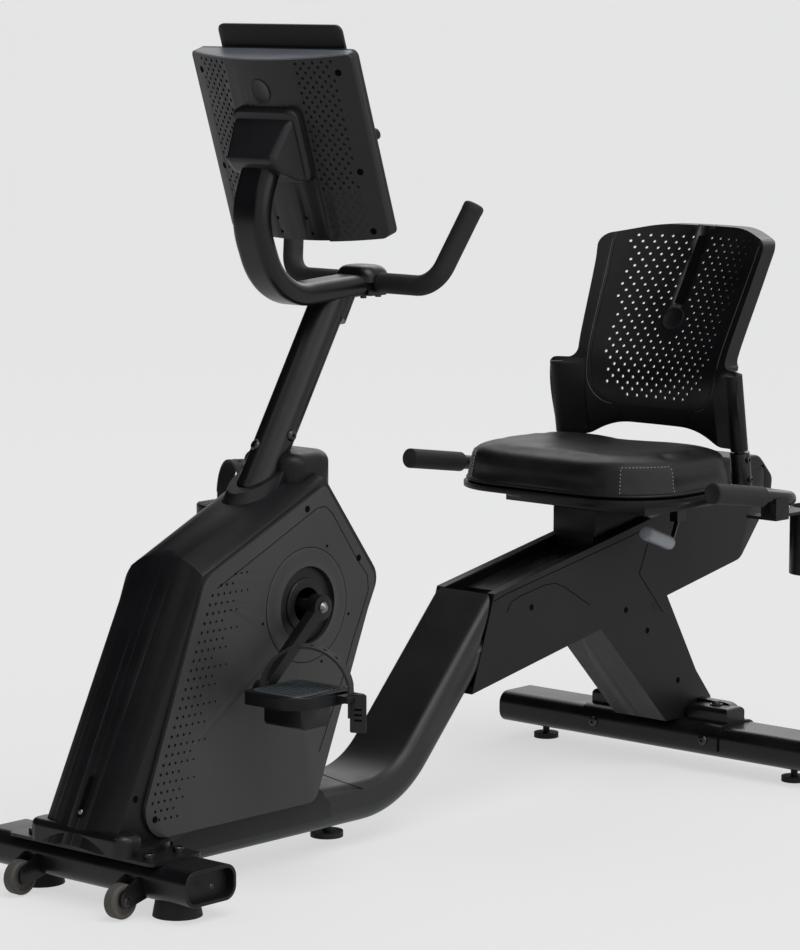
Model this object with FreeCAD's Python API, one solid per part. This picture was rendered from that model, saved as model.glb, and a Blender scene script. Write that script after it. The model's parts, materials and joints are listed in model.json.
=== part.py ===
# A recumbent exercise bike, in millimetres. X is the rider's left, Y runs from the front
# stabilizer to the seat, Z is up from the floor. Stations along Y are measured from the axis of
# the front stabilizer, and each piece is shifted so that Y = 0 lies midway along the whole bike.
import FreeCAD, Part
import math
import os
from FreeCAD import Vector as V

# Fits and gaps
GAP_TEST = 1e-3         # closeness that counts as the same place
SEAT_GAP = 0.3          # between two curved or moulded faces that lie on each other
RUN_FIT = 0.1           # radial clearance of a shaft in its bore
TRAVEL_GAP = 6.0        # least room between a moving piece and a fixed one

# Stabilizers: flat steel tubes with round edges, across the floor
STAB_W = 104.0
STAB_H = 54.0
STAB_EDGE_R = 21.0
STAB_WALL = 2.5
STAB_Z = 54.0           # height of the tube's axis
STAB_TOP = STAB_Z + STAB_H / 2
STAB_LOW = STAB_Z - STAB_H / 2
FRONT_STAB_HALF = 215.0
REAR_STAB_HALF = 340.0
REAR_STAB_Y = 1347.0
CAP_RECESS = 14.0       # end plug set back inside its rim
CAP_THICK = 4.0
CAP_RIM = 3.0
FRONT_FOOT_X = 146.0
FRONT_FOOT_R = 37.0
FRONT_FOOT_TAPER = 5.0
REAR_FOOT_X = 273.0
REAR_FOOT_R = 22.0
FOOT_DISC_H = 9.0
FOOT_STEM_R = 6.0
MID_FOOT_Y = 475.0
MID_FOOT_R = 26.0
MID_FOOT_Z = 12.0       # the middle foot stops short of the floor

# Transport wheels on the front stabilizer
WHEEL_X = 107.0
WHEEL_Y = -77.0
WHEEL_R = 26.0
WHEEL_W = 20.0
WHEEL_Z = 28.0
WHEEL_PIN_R = 4.0
WHEEL_HUB_R = 10.0
WHEEL_RIM = 7.0
WHEEL_DISH = 2.0
WHEEL_EDGE_R = 4.0
FORK_PLATE = 4.0
FORK_SIDE_GAP = 1.0
FORK_EYE_R = 13.0

# Plates that carry the frame on the stabilizers
PLATE_T = 5.0
PLATE_TOP = STAB_TOP + PLATE_T
FRONT_PLATE_HALF = 152.0
FRONT_PLATE_REACH = 58.0    # how far its front edge lies ahead of the tube's axis
FRONT_PLATE_BACK = 46.0
PLATE_BOLT_X = 120.0
PLATE_BOLT_R = 5.0
PLINTH_HALF = 103.0
PLINTH_FRONT = 68.0
PLINTH_H = 32.0
PLINTH_EDGE_R = 10.0
PANEL_OUT_X = PLINTH_HALF + 1
SADDLE_HALF = 150.0
SADDLE_T = 3.5
REAR_TOP = STAB_TOP + SEAT_GAP + SADDLE_T
SADDLE_LOW_Z = 40.0
SADDLE_BOLT_Z = 57.0
BLOCK_IN_X = 62.0       # bolt blocks beside the leg
BLOCK_H = 24.0
BLOCK_L = 50.0
ARCH_HALF = 196.0       # arched cover behind the leg
ARCH_H = 28.0
ARCH_T = 16.0

# Base beam: low along the floor, then up to the seat rail
BEAM_HALF = 60.0
BEAM_Z = 40.0           # underside
BEAM_H = 46.0
BEAM_TOP = BEAM_Z + BEAM_H
BEAM_EDGE_R = 20.0
RISE_START_Y = 505.0
RISE_ANGLE = 47.0
RISE_R = 200.0          # underside radius of the bend

# Seat rail
RAIL_ANGLE = 11.0
RAIL_TOP_Y = 850.0      # a point on the rail's top line
RAIL_TOP_Z = 372.0
RAIL_DEPTH = 144.0
RAIL_REAR_Y = 1535.0
END_CAP_Y = 1413.0
END_CAP_TOP_Z = 528.0
END_CAP_BELLY = 98.0    # depth of the cap's rear face under its top
END_CAP_EDGE_R = 7.0
REAR_END = 1565.0
RAIL_TUBE_HALF = 34.0
RAIL_TUBE_H = 60.0
RAIL_SUNK = 16.0        # track lies this far under the covers' top edge
TRACK_T = 6.0
TRACK_HALF = 42.0
COVER_HALF = 62.0
COVER_WALL = 3.0
STEP_COVER_HALF = 64.0
STEP_COVER_TOP = 66.0
STEP_COVER_LOW = 26.0
STEP_EDGE_R = 16.0

# Rear leg
LEG_TUBE = 56.0
LEG_TUBE_W = 60.0
LEG_COVER_HALF = 56.0
LEG_LEAN = 150.0        # how far the leg's top lies ahead of its foot
LEG_FOOT_FRONT = 76.0
LEG_FOOT_REAR = 50.0
LEG_TOP_REAR = 79.0
LEG_TOP_FRONT = 260.0

# Drive housing: its middle line from the side, and how far its faces bulge there
SHELL_HALF = 76.0
SHELL_WALL = 3.0
PANEL_T = 6.0
SHELL_LOW_Z = 66.0
SHELL_FRONT_ANGLE = 63.9
SHELL_TOP_ANGLE = 24.3
SHELL_NOSE_Y = 123.5    # corner between the front and the top
SHELL_NOSE_Z = 501.0
SHELL_NOSE_R = 66.0
SHELL_REAR_Y = 512.0
SHELL_REAR_Z = 432.0
SHELL_REAR_ANGLE = 126.9
SHELL_FOOT_Y = 402.0    # rear end of the housing's foot on the beam
SHELL_FOOT_H = 22.0
SHELL_STEP_Y = 60.0     # the housing's floor steps up here, over the stabilizer
SHELL_WAIST_Y = 362.0   # corner of the rear line above the foot
SHELL_WAIST_Z = 128.0
PANEL_LOW_Y = -24.0     # the side panels' front lower corner
PANEL_LOW_Z = 98.0
PANEL_PEAK_Y = 384.0    # highest corner of the side panels
PANEL_PEAK_Z = 586.0
CROWN_REACH = 900.0     # longer than any face of the housing
FRONT_CROWN = 12.4
TOP_CROWN = 24.0
CROWN_TRIM = 0.6        # the bulging faces lie this far inside the middle outline
CRANK_Y = 342.0
CRANK_Z = 406.0
BEZEL_R = 59.0
BEZEL_T_LOW = 3.0
HUB_RING_R = 38.0
HUB_HOLE_R = 27.0
DISH_R = 88.0           # shallow dish in the side panel round the crank
FLYWHEEL_Y = 280.0
FLYWHEEL_Z = 238.0
FLYWHEEL_R = 98.0
FLYWHEEL_W = 30.0
FLYWHEEL_AXLE_R = 8.0
DRIVE_PLATE_X = 34.0
DRIVE_PLATE_T = 5.0
HUMP_HALF = 60.0        # rounded hump behind the mast
HUMP_FRONT_Y = 335.0
HUMP_REAR_Y = 441.0
HUMP_TOP_Z = 633.0
HUMP_LOW_Z = 578.0
HUMP_CORNER_R = 44.0
HUMP_EDGE_R = 18.0
COLLAR_R = 40.0
COLLAR_LIP = 11.0
COLLAR_LOW_Z = 500.0

# Mast and console arm
MAST_R = 29.0
MAST_WALL = 2.5
MAST_LOW_Y = 326.0
MAST_LOW_Z = 598.0
MAST_FOOT_Z = 572.0     # the tube goes on down into the housing's collar
MAST_TOP_Z = 858.0
MAST_ANGLE = 59.0       # from the floor
POST_TOP_Z = 690.0
POST_LOW_Z = 130.0
ARM_W = 66.0
ARM_T = 34.0
ARM_FLAT = 1.0          # the arm's edges stop just short of full round
ARM_PAST_BAR = 22.0
ARM_CURL_Y = 352.0      # the arm curls forward here, and ends above it
ARM_CURL_Z = 866.0
ARM_FRONT_Y = 302.0
ARM_FRONT_Z = 990.0
ARM_TOP_Z = 1123.0
BAR_Y = 556.0
BAR_Z = 881.0

# Handlebar
BAR_R = 12.5
GRIP_R = 16.0
BAR_BEND_X = 150.0
BAR_END_X = 187.0
BAR_END_Y = 602.0
BAR_END_Z = 1000.0
BAR_BEND_R = 48.0
CLAMP_HALF = 34.0
CLAMP_REACH = 23.0
CLAMP_H = 20.0
GRIP_END = 5.0          # closed end of a grip beyond its tube

# Console
CONSOLE_TILT = 18.2
CONSOLE_Y = 404.3       # middle of its screen face
CONSOLE_Z = 1105.0
CONSOLE_W = 330.0
CONSOLE_H = 292.0
CONSOLE_EDGE_T = 12.0
CONSOLE_MID_T = 46.0
CONSOLE_CORNER_R = 11.0
CONSOLE_TOP_T = 2.5
BEZEL_T = 6.0
SCREEN_HALF = 110.0
SCREEN_LOW = -30.0
SCREEN_HIGH = 110.0
SCREEN_T = 3.0
CHANNEL_HALF = 66.0     # shallow channel down the middle of the back
CHANNEL_DEPTH = 4.5
CHANNEL_TOP = -40.0
RACK_HALF = 128.0
RACK_OUT = 18.0
RACK_T = 4.0
RACK_LOW = 44.0
RACK_UP = 32.0
RACK_CORNER_R = 12.0
HOOD_HALF = 66.0
HOOD_NOSE_HALF = 52.0
HOOD_DEPTH = 110.0
KNOB_R = 9.0
KNOB_L = 14.0

# Cranks and pedals
SPINDLE_R = 10.0
CRANK_LEN = 165.0
CRANK_ANGLE = 221.5     # near arm, forward and down
ARM_INNER_X = 97.0
ARM_OUTER_X = 117.0
ARM_BACK = 3.0          # the arm's inner face lies this far out from its boss's
CRANK_BOSS_R = 19.0
CRANK_END_R = 14.0
CRANK_HALF_W = 9.5
CRANK_END_HALF_W = 8.0
PEDAL_IN_X = 124.0
PEDAL_W = 114.0
PEDAL_L = 126.0
PEDAL_H = 20.0
PEDAL_CORNER_R = 14.0
PEDAL_ROUND_R = 42.0
WEIGHT_DEPTH = 34.0
WEIGHT_HALF = 32.0
LUG_REACH = 22.0
PEDAL_PIN_R = 7.0
PEDAL_END_WALL = 10.0
STRAP_W = 26.0
STRAP_T = 3.0
STRAP_RISE = 66.0
STRAP_TAIL = 38.0

# Seat
SEAT_HALF = 220.0
SEAT_FRONT_Y = 984.0
SEAT_REAR_Y = 1290.0
SEAT_Z = 497.0          # underside of the lip that the cushion sits in
SEAT_LIP_T = 8.0
SEAT_LIP_Z = SEAT_Z + SEAT_LIP_T
CUSHION_H = 68.0
CUSHION_EDGE_R = 27.0
PAN_T = 14.0
FRAME_TOP_Z = SEAT_Z - PAN_T
PAN_INSET = 48.0
SEAT_FRONT_R = 120.0
SEAT_REAR_R = 90.0
TROLLEY_Y = 1160.0      # middle of the trolley on the track
TROLLEY_L = 150.0
SEAT_BAR_X = 150.0
SEAT_BAR_W = 30.0
HANDLE_OUT = 106.0      # handles lie this far outside the cushion
HANDLE_X = SEAT_HALF + HANDLE_OUT
HANDLE_R = 17.0
HANDLE_TUBE_R = 12.5
HANDLE_FRONT_Y = 1036.0
HANDLE_FRONT_Z = 529.0
HANDLE_GRIP_L = 132.0
HANDLE_GRIP_END = 6.0
HANDLE_SLOPE = 8.0
HANDLE_TURN = 222.0     # length of the tube to its turn behind the seat
HANDLE_TURN_R = 45.0
HANDLE_INNER_R = 60.0
CROSS_TUBE_Y = 1326.0
CROSS_TUBE_Z = 487.0
CROSS_TUBE_X = 200.0
BACK_POST_INSET = 31.0
BACK_POST_X = SEAT_HALF - BACK_POST_INSET
BACK_POST_R = 9.0
BACK_POST_REACH = 60.0
POST_SLEEVE_R = 17.0
POST_BEHIND = 5.0   # the posts' axes lie this far behind the back's lower edge
CUP_INSET = 24.0
CUP_X = HANDLE_X - CUP_INSET
CUP_BEHIND = 27.0
CUP_Y = CROSS_TUBE_Y + CUP_BEHIND
CUP_R = 42.0
CUP_LOW_Z = 360.0
CUP_TOP_Z = 474.0
CUP_WALL = 3.0
CUP_TAB_T = 5.0
LEVER_R = 11.0
LEVER_ROOT_X = 100.0
LEVER_ROD_R = 4.0

# Seat back: a moulded shell, hollowed across and leaning back above its bend
BACK_LOW_Z = 564.0
BACK_BEND_Z = 698.0
BACK_TOP_Z = 926.0
BACK_SHOULDER_Z = 906.0
BACK_FORWARD = 40.0   # its lower edge lies this far ahead of the cross tube
BACK_LOW_Y = CROSS_TUBE_Y - BACK_FORWARD
POST_SLOPE = 0.155       # the posts' forward run for each unit of height
BACK_WING_SLOPE = 0.10   # forward run of the wings for each unit of height
BACK_LEAN = 25.5
BACK_SIDE_X = 170.0     # half-width at which the side line is taken
BACK_SAG_LOW = 16.0   # how far the middle lies behind the sides, at the lower edge
BACK_SAG_RISE = 0.12   # and its growth for each unit of height
BACK_T = 5.0
BACK_SECTIONS = 6
BACK_FLANGE = 35.0
BACK_PANEL_T = 4.0
PANEL_SUNK = 1.5
BACK_LEDGE = 9.0
BACK_LEDGE_T = 2.5
WING_OUT = 13.0   # wing's outer edge beyond the post's axis
BACK_HALF = BACK_POST_X + WING_OUT
BACK_SLEEVE_R = 15.0
FRAME_BAR_H = 14.0
TOWER_HALF = 46.0
BACK_GROOVE_W = 20.0
BACK_GROOVE_LOW_Z = 792.0
GROOVE_DEPTH = 2.0

SIDES = (("left", 1), ("right", -1))


def unit(angle):
    a = math.radians(angle)
    return math.cos(a), math.sin(a)


def box(x0, x1, y0, y1, z0, z1):
    return Part.makeBox(x1 - x0, y1 - y0, z1 - z0, V(x0, y0, z0))


def rod(start, end, radius):
    axis = end - start
    return Part.makeCylinder(radius, axis.Length, start, axis)


def x_rod(x0, x1, y, z, radius):
    return rod(V(min(x0, x1), y, z), V(max(x0, x1), y, z), radius)


def rounded_wire(points):
    """Closed wire through 3-D points, each with the radius of its corner."""
    edges = []
    n = len(points)
    starts = []
    ends = []
    mids = []
    for i in range(n):
        p, r = points[i]
        a = (points[i - 1][0] - p).normalize()
        b = (points[(i + 1) % n][0] - p).normalize()
        if r <= 0:
            starts.append(p)
            ends.append(p)
            mids.append(None)
            continue
        half = a.getAngle(b) / 2
        run = r / math.tan(half)
        centre = p + (a + b).normalize() * (r / math.sin(half))
        starts.append(p + a * run)
        ends.append(p + b * run)
        mids.append(centre + (p - centre).normalize() * r)
    for i in range(n):
        if mids[i] is not None:
            edges.append(Part.Arc(starts[i], mids[i], ends[i]).toShape())
        nxt = starts[(i + 1) % n]
        if (nxt - ends[i]).Length > 1e-6:
            edges.append(Part.makeLine(ends[i], nxt))
    return Part.Wire(edges)


def side_solid(outline, x0, x1):
    """Plate between x0 and x1 whose side view is an outline of (y, z, corner radius)."""
    wire = rounded_wire([(V(x0, y, z), r) for y, z, r in outline])
    return Part.Face(wire).extrude(V(x1 - x0, 0, 0))


def plan_solid(outline, z0, z1):
    """Plate between z0 and z1 whose plan is an outline of (x, y, corner radius)."""
    wire = rounded_wire([(V(x, y, z0), r) for x, y, r in outline])
    return Part.Face(wire).extrude(V(0, 0, z1 - z0))


def rounded_plan(half, y0, y1, r, z0, z1):
    return plan_solid([(-half, y0, r), (half, y0, r), (half, y1, r), (-half, y1, r)], z0, z1)


def swept(points, face_at):
    """Bar of straight runs and round bends, from (point, bend radius) pairs and its cross-section."""
    pieces = []
    last = points[0][0]
    for i in range(1, len(points) - 1):
        p, r = points[i]
        a = (points[i - 1][0] - p).normalize()
        b = (points[i + 1][0] - p).normalize()
        half = a.getAngle(b) / 2
        run = r / math.tan(half)
        centre = p + (a + b).normalize() * (r / math.sin(half))
        start = p + a * run
        turn = 180 - 2 * math.degrees(half)
        pieces.append(face_at(last, -a).extrude(start - last))
        pieces.append(face_at(start, -a).revolve(centre, (start - centre).cross(-a).normalize(), turn))
        last = p + b * run
    end = points[-1][0]
    pieces.append(face_at(last, (end - last).normalize()).extrude(end - last))
    return pieces[0].fuse(pieces[1:]).removeSplitter()


def bent_rod(points, radius):
    return swept(points, lambda place, heading: Part.Face(Part.Wire(
        Part.makeCircle(radius, place, heading))))


def mirrored(shape):
    return shape.mirror(V(0, 0, 0), V(1, 0, 0))


def sided(shape, side):
    return shape if side > 0 else mirrored(shape)


def fillet_where(shape, radius, test):
    edges = [e for e in shape.Edges if test(e)]
    return shape.makeFillet(radius, edges)


# Frame lines

def rise_point(t, distance=0.0):
    """A point on the rising run, t above the beam's underside and some way up from the bend."""
    c, s = unit(RISE_ANGLE)
    y = RISE_START_Y + (RISE_R - t) * s + distance * c
    z = BEAM_Z + RISE_R - (RISE_R - t) * c + distance * s
    return y, z


def rail_point(y, depth=0.0):
    """Height of a line parallel to the rail's top, some way under it."""
    c, s = unit(RAIL_ANGLE)
    return RAIL_TOP_Z + (y - RAIL_TOP_Y) * s / c - depth / c


def rise_meets_rail(t, depth):
    """Where the rising run at t crosses the line at a depth under the rail's top."""
    y0, z0 = rise_point(t)
    slope = math.tan(math.radians(RISE_ANGLE))
    rail = math.tan(math.radians(RAIL_ANGLE))
    y = (rail_point(0.0, depth) - z0 + slope * y0) / (slope - rail)
    return y, rail_point(y, depth)


def bend_outline(t_low, t_high, start_y, far_low, far_high, r_high=0.0):
    """Side outline of a layer of the beam, from a start station to two far points."""
    wire_points = [(start_y, BEAM_Z + t_low, 0.0)]
    corner_low = bend_corner(t_low)
    corner_high = bend_corner(t_high)
    wire_points.append((corner_low[0], corner_low[1], RISE_R - t_low))
    wire_points.append((far_low[0], far_low[1], 0.0))
    wire_points.append((far_high[0], far_high[1], r_high))
    wire_points.append((corner_high[0], corner_high[1], RISE_R - t_high))
    wire_points.append((start_y, BEAM_Z + t_high, 0.0))
    return wire_points


def bend_corner(t):
    """Corner where the low run and the rising run would meet without their bend."""
    run = (RISE_R - t) * math.tan(math.radians(RISE_ANGLE) / 2)
    return RISE_START_Y + run, BEAM_Z + t


def stab_solid(y, half, grow=0.0):
    """Flat bar with round edges, across the bike."""
    reach = STAB_W / 2 + grow
    rise = STAB_H / 2 + grow
    r = STAB_EDGE_R + grow
    outline = [(y - reach, STAB_Z - rise, r), (y + reach, STAB_Z - rise, r),
               (y + reach, STAB_Z + rise, r), (y - reach, STAB_Z + rise, r)]
    return side_solid(outline, -half, half)




def stabilizer(y, half):
    return stab_solid(y, half).cut(stab_solid(y, half + 1, -STAB_WALL))


def end_cap(y, half):
    """Plug with a rim, set in the tube's end."""
    plug = stab_solid(y, half, -STAB_WALL).common(
        box(half - CAP_RECESS - CAP_THICK, half, y - STAB_W, y + STAB_W, 0, STAB_TOP))
    hollow = stab_solid(y, half + 1, -STAB_WALL - CAP_RIM).common(
        box(half - CAP_RECESS, half + 1, y - STAB_W, y + STAB_W, 0, STAB_TOP))
    return plug.cut(hollow)


def front_foot():
    return Part.makeCone(FRONT_FOOT_R, FRONT_FOOT_R - FRONT_FOOT_TAPER, STAB_LOW, V(FRONT_FOOT_X, 0, 0),
                         V(0, 0, 1))


def levelling_foot(x, y, floor_z, top_z, radius):
    disc = Part.makeCylinder(radius, FOOT_DISC_H, V(x, y, floor_z))
    stem = Part.makeCylinder(FOOT_STEM_R, top_z - floor_z - FOOT_DISC_H,
                             V(x, y, floor_z + FOOT_DISC_H))
    return disc.fuse(stem).removeSplitter()


def wheel_fork():
    """Two plates on the stabilizer's front with a pin between them."""
    fork = None
    for side in (-1, 1):
        inner = WHEEL_X + side * (WHEEL_W / 2 + FORK_SIDE_GAP)
        outer = inner + side * FORK_PLATE
        plate = side_solid([(WHEEL_Y - FORK_EYE_R, WHEEL_Z - FORK_EYE_R, FORK_EYE_R - 0.5),
                            (-STAB_W / 4, STAB_LOW + 4, 0),
                            (-STAB_W / 4, STAB_Z + 14, 0),
                            (-STAB_W / 2 - 6, STAB_Z + 6, 4),
                            (WHEEL_Y - FORK_EYE_R, WHEEL_Z + FORK_EYE_R, FORK_EYE_R - 0.5)],
                           min(inner, outer), max(inner, outer))
        fork = plate if fork is None else fork.fuse(plate)
    reach = WHEEL_W / 2 + FORK_SIDE_GAP + FORK_PLATE
    pin = x_rod(WHEEL_X - reach, WHEEL_X + reach, WHEEL_Y, WHEEL_Z, WHEEL_PIN_R)
    return fork.fuse(pin).removeSplitter().cut(stab_solid(0, FRONT_STAB_HALF))


def transport_wheel():
    """Solid wheel with dished sides, turned about its axle."""
    half = WHEEL_W / 2
    rim = WHEEL_R - WHEEL_RIM
    bore = WHEEL_PIN_R + RUN_FIT
    side = [(half, bore, 0), (half, WHEEL_HUB_R - WHEEL_DISH, 0), (half - WHEEL_DISH, WHEEL_HUB_R, 0),
            (half - WHEEL_DISH, rim - WHEEL_DISH, 0), (half, rim, 0), (half, WHEEL_R, WHEEL_EDGE_R)]
    ring = side + [(-x, radius, r) for x, radius, r in reversed(side)]
    wire = rounded_wire([(V(WHEEL_X + x, WHEEL_Y, WHEEL_Z + radius), r) for x, radius, r in ring])
    return Part.Face(wire).revolve(V(WHEEL_X, WHEEL_Y, WHEEL_Z), V(1, 0, 0), 360)


def bolt_holes(shape, y, reach):
    for x in (-PLATE_BOLT_X, PLATE_BOLT_X):
        shape = shape.cut(Part.makeCylinder(PLATE_BOLT_R, reach, V(x, y, STAB_TOP - reach / 2)))
    return shape


def round_top(shape, top, radius):
    """The edges of a shape's flat top, rounded."""
    return fillet_where(shape, radius, lambda e: e.BoundBox.ZMin > top - GAP_TEST)


def front_base_plate():
    """Plate on the stabilizer with bolt ears and the plinth that the housing stands in."""
    plate = plan_solid([(-FRONT_PLATE_HALF, -FRONT_PLATE_REACH, 8), (FRONT_PLATE_HALF, -FRONT_PLATE_REACH, 8),
                        (FRONT_PLATE_HALF, FRONT_PLATE_BACK, 8), (-FRONT_PLATE_HALF, FRONT_PLATE_BACK, 8)],
                       STAB_TOP, PLATE_TOP)
    plate = bolt_holes(plate, -FRONT_PLATE_REACH / 2, PLATE_T * 4)
    top = PLATE_TOP + PLINTH_H
    low_top = PLATE_TOP + PLINTH_H / 3
    plinth = plan_solid([(-PLINTH_HALF, -PLINTH_FRONT, 22), (PLINTH_HALF, -PLINTH_FRONT, 22),
                         (PLINTH_HALF, PANEL_LOW_Y, 12), (-PLINTH_HALF, PANEL_LOW_Y, 12)], PLATE_TOP, top)
    plinth = round_top(plinth, top, PLINTH_EDGE_R)
    skirt = plan_solid([(-PLINTH_HALF, PANEL_LOW_Y - 20, 0), (PLINTH_HALF, PANEL_LOW_Y - 20, 0),
                        (PLINTH_HALF, FRONT_PLATE_BACK, 30), (-PLINTH_HALF, FRONT_PLATE_BACK, 30)],
                       PLATE_TOP, low_top)
    solid = plate.fuse([plinth, skirt]).removeSplitter()
    solid = solid.cut(shell_body(-SHELL_HALF, SHELL_HALF, SEAT_GAP))
    return solid.cut(box(-PANEL_OUT_X, PANEL_OUT_X, PANEL_LOW_Y, FRONT_PLATE_BACK + 1, low_top, top + 1))


def rear_base_plate():
    """Saddle over the stabilizer, with bolt blocks beside the leg and an arched cover behind it."""
    saddle = stab_solid(REAR_STAB_Y, SADDLE_HALF, SADDLE_T + SEAT_GAP)
    saddle = saddle.cut(stab_solid(REAR_STAB_Y, SADDLE_HALF + 1, SEAT_GAP))
    saddle = saddle.cut(box(-SADDLE_HALF - 1, SADDLE_HALF + 1, REAR_STAB_Y - STAB_W, REAR_STAB_Y + STAB_W,
                            0, SADDLE_LOW_Z))
    for x in (-PLATE_BOLT_X, PLATE_BOLT_X):
        saddle = saddle.cut(rod(V(x, REAR_STAB_Y - STAB_W, SADDLE_BOLT_Z), V(x, REAR_STAB_Y, SADDLE_BOLT_Z),
                                PLATE_BOLT_R))
    top = REAR_TOP + BLOCK_H
    blocks = []
    for side in (-1, 1):
        xa = side * BLOCK_IN_X
        xb = side * (SADDLE_HALF - 2)
        block = box(min(xa, xb), max(xa, xb), REAR_STAB_Y - BLOCK_L / 2, REAR_STAB_Y + BLOCK_L / 2, REAR_TOP, top)
        blocks.append(round_top(block, top, 9))
    arch_y = REAR_STAB_Y + STAB_W / 2 - STAB_EDGE_R - 4
    arch = front_solid([(-ARCH_HALF + 48, REAR_TOP, 0), (ARCH_HALF - 48, REAR_TOP, 0),
                        (ARCH_HALF - 66, REAR_TOP + ARCH_H, 30), (-ARCH_HALF + 66, REAR_TOP + ARCH_H, 30)],
                       arch_y - ARCH_T, arch_y)
    arch = arch.cut(box(-LEG_COVER_HALF - SEAT_GAP, LEG_COVER_HALF + SEAT_GAP, arch_y - ARCH_T - 1, arch_y + 1,
                        REAR_TOP - 1, REAR_TOP + ARCH_H + 1))
    return saddle.fuse(blocks + [arch]).removeSplitter()


def rail_tube_solid(grow=0.0):
    """Box tube under the track, along the rail."""
    top = RAIL_SUNK + TRACK_T - grow
    low = RAIL_SUNK + TRACK_T + RAIL_TUBE_H + grow
    y0 = RAIL_TOP_Y + 10 - grow
    y1 = RAIL_REAR_Y - 12 + grow
    outline = [(y0, rail_point(y0, low), 0), (y1, rail_point(y1, low), 0),
               (y1, rail_point(y1, top), 0), (y0, rail_point(y0, top), 0)]
    return side_solid(outline, -RAIL_TUBE_HALF - grow, RAIL_TUBE_HALF + grow)


def rail_track():
    """Extruded track the trolley runs on."""
    y0 = RAIL_TOP_Y + 10
    y1 = RAIL_REAR_Y - 12
    outline = [(y0, rail_point(y0, RAIL_SUNK + TRACK_T), 0), (y1, rail_point(y1, RAIL_SUNK + TRACK_T), 0),
               (y1, rail_point(y1, RAIL_SUNK), 0), (y0, rail_point(y0, RAIL_SUNK), 0)]
    return side_solid(outline, -TRACK_HALF, TRACK_HALF)


def rail_end_cap():
    """Rounded hump that closes the rail's rear end."""
    y0 = END_CAP_Y
    belly = END_CAP_TOP_Z - END_CAP_BELLY
    outline = [(y0, rail_point(y0, -SEAT_GAP), 0), (y0 + 10, END_CAP_TOP_Z, 12),
               (REAR_END - 40, END_CAP_TOP_Z - 5, 28), (REAR_END, END_CAP_TOP_Z - 46, 22),
               (REAR_END - 6, belly + 8, 14), (RAIL_REAR_Y + SEAT_GAP, belly, 0),
               (RAIL_REAR_Y + SEAT_GAP, rail_point(RAIL_REAR_Y, -SEAT_GAP), 0)]
    cap = side_solid(outline, -COVER_HALF, COVER_HALF)

    def outer_rim(edge):
        b = edge.BoundBox
        mid = edge.valueAt((edge.FirstParameter + edge.LastParameter) / 2)
        clear = mid.z > rail_point(mid.y) + 2 or mid.y > RAIL_REAR_Y + 1
        return b.XLength < GAP_TEST and clear

    return fillet_where(cap, END_CAP_EDGE_R, outer_rim)


def base_beam():
    far_low = rise_meets_rail(0.0, RAIL_SUNK + TRACK_T + RAIL_TUBE_H)
    far_high = rise_meets_rail(BEAM_H, RAIL_SUNK + TRACK_T + RAIL_TUBE_H)
    outline = bend_outline(0.0, BEAM_H, STAB_W / 4, far_low, far_high)
    beam = side_solid(outline, -BEAM_HALF, BEAM_HALF)
    low = min(BEAM_EDGE_R, BEAM_H / 2 - 1)

    def underside(edge):
        b = edge.BoundBox
        if b.XLength > 1e-6:
            return False
        mid = edge.valueAt((edge.FirstParameter + edge.LastParameter) / 2)
        return layer_height(mid) < 0.5

    beam = fillet_where(beam, low, underside)
    beam = beam.cut(stab_solid(0, FRONT_STAB_HALF))
    return beam.cut(box(-BEAM_HALF - 1, BEAM_HALF + 1, 0, FRONT_PLATE_BACK + SEAT_GAP, STAB_TOP, PLATE_TOP))


def layer_height(point):
    """How far a point lies above the beam's underside, across its run."""
    y, z = point.y, point.z
    if y <= RISE_START_Y:
        return z - BEAM_Z
    c, s = unit(RISE_ANGLE)
    centre = (RISE_START_Y, BEAM_Z + RISE_R)
    end = rise_point(0.0)
    ahead = (y - end[0]) * c + (z - end[1]) * s
    if ahead <= 0:
        return RISE_R - math.hypot(y - centre[0], z - centre[1])
    return -(y - end[0]) * s + (z - end[1]) * c


def rail_outline(inset=0.0):
    """Side outline of the rail covers."""
    front = rise_meets_rail(STEP_COVER_TOP, inset)
    low_front = rise_meets_rail(0.0, RAIL_DEPTH - inset)
    rear = RAIL_REAR_Y - inset
    return [(front[0] + 4, rail_point(front[0] + 4, inset), 0),
            (low_front[0] + 6, rail_point(low_front[0] + 6, RAIL_DEPTH - inset), 0),
            (rear - 66, rail_point(rear - 66, RAIL_DEPTH - inset), 30),
            (rear, rail_point(rear, RAIL_DEPTH - 62), 50),
            (rear, rail_point(rear, inset), 10)]


def step_layer(grow=0.0):
    """Solid of the beam's upper run that the step cover lies on."""
    far_low = rise_meets_rail(-grow, RAIL_DEPTH / 2)
    far_high = rise_meets_rail(BEAM_H + grow, RAIL_DEPTH / 2)
    outline = bend_outline(-grow, BEAM_H + grow, STAB_W / 4, far_low, far_high)
    return side_solid(outline, -BEAM_HALF - grow, BEAM_HALF + grow)


def rear_leg():
    """Box tube from the rail down to the rear stabilizer's saddle."""
    return side_solid(leg_tube_outline(), -LEG_TUBE_W / 2, LEG_TUBE_W / 2).cut(rail_tube_solid())


def leg_tube_outline(grow=0.0):
    low_y = REAR_STAB_Y - 10
    top_y = REAR_STAB_Y - LEG_LEAN
    z_top = rail_point(top_y, RAIL_SUNK + TRACK_T + RAIL_TUBE_H - 4)
    half = LEG_TUBE / 2 + grow
    return [(low_y - half, REAR_TOP, 0), (low_y + half, REAR_TOP, 0),
            (top_y + half, z_top, 0), (top_y - half, z_top, 0)]


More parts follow.
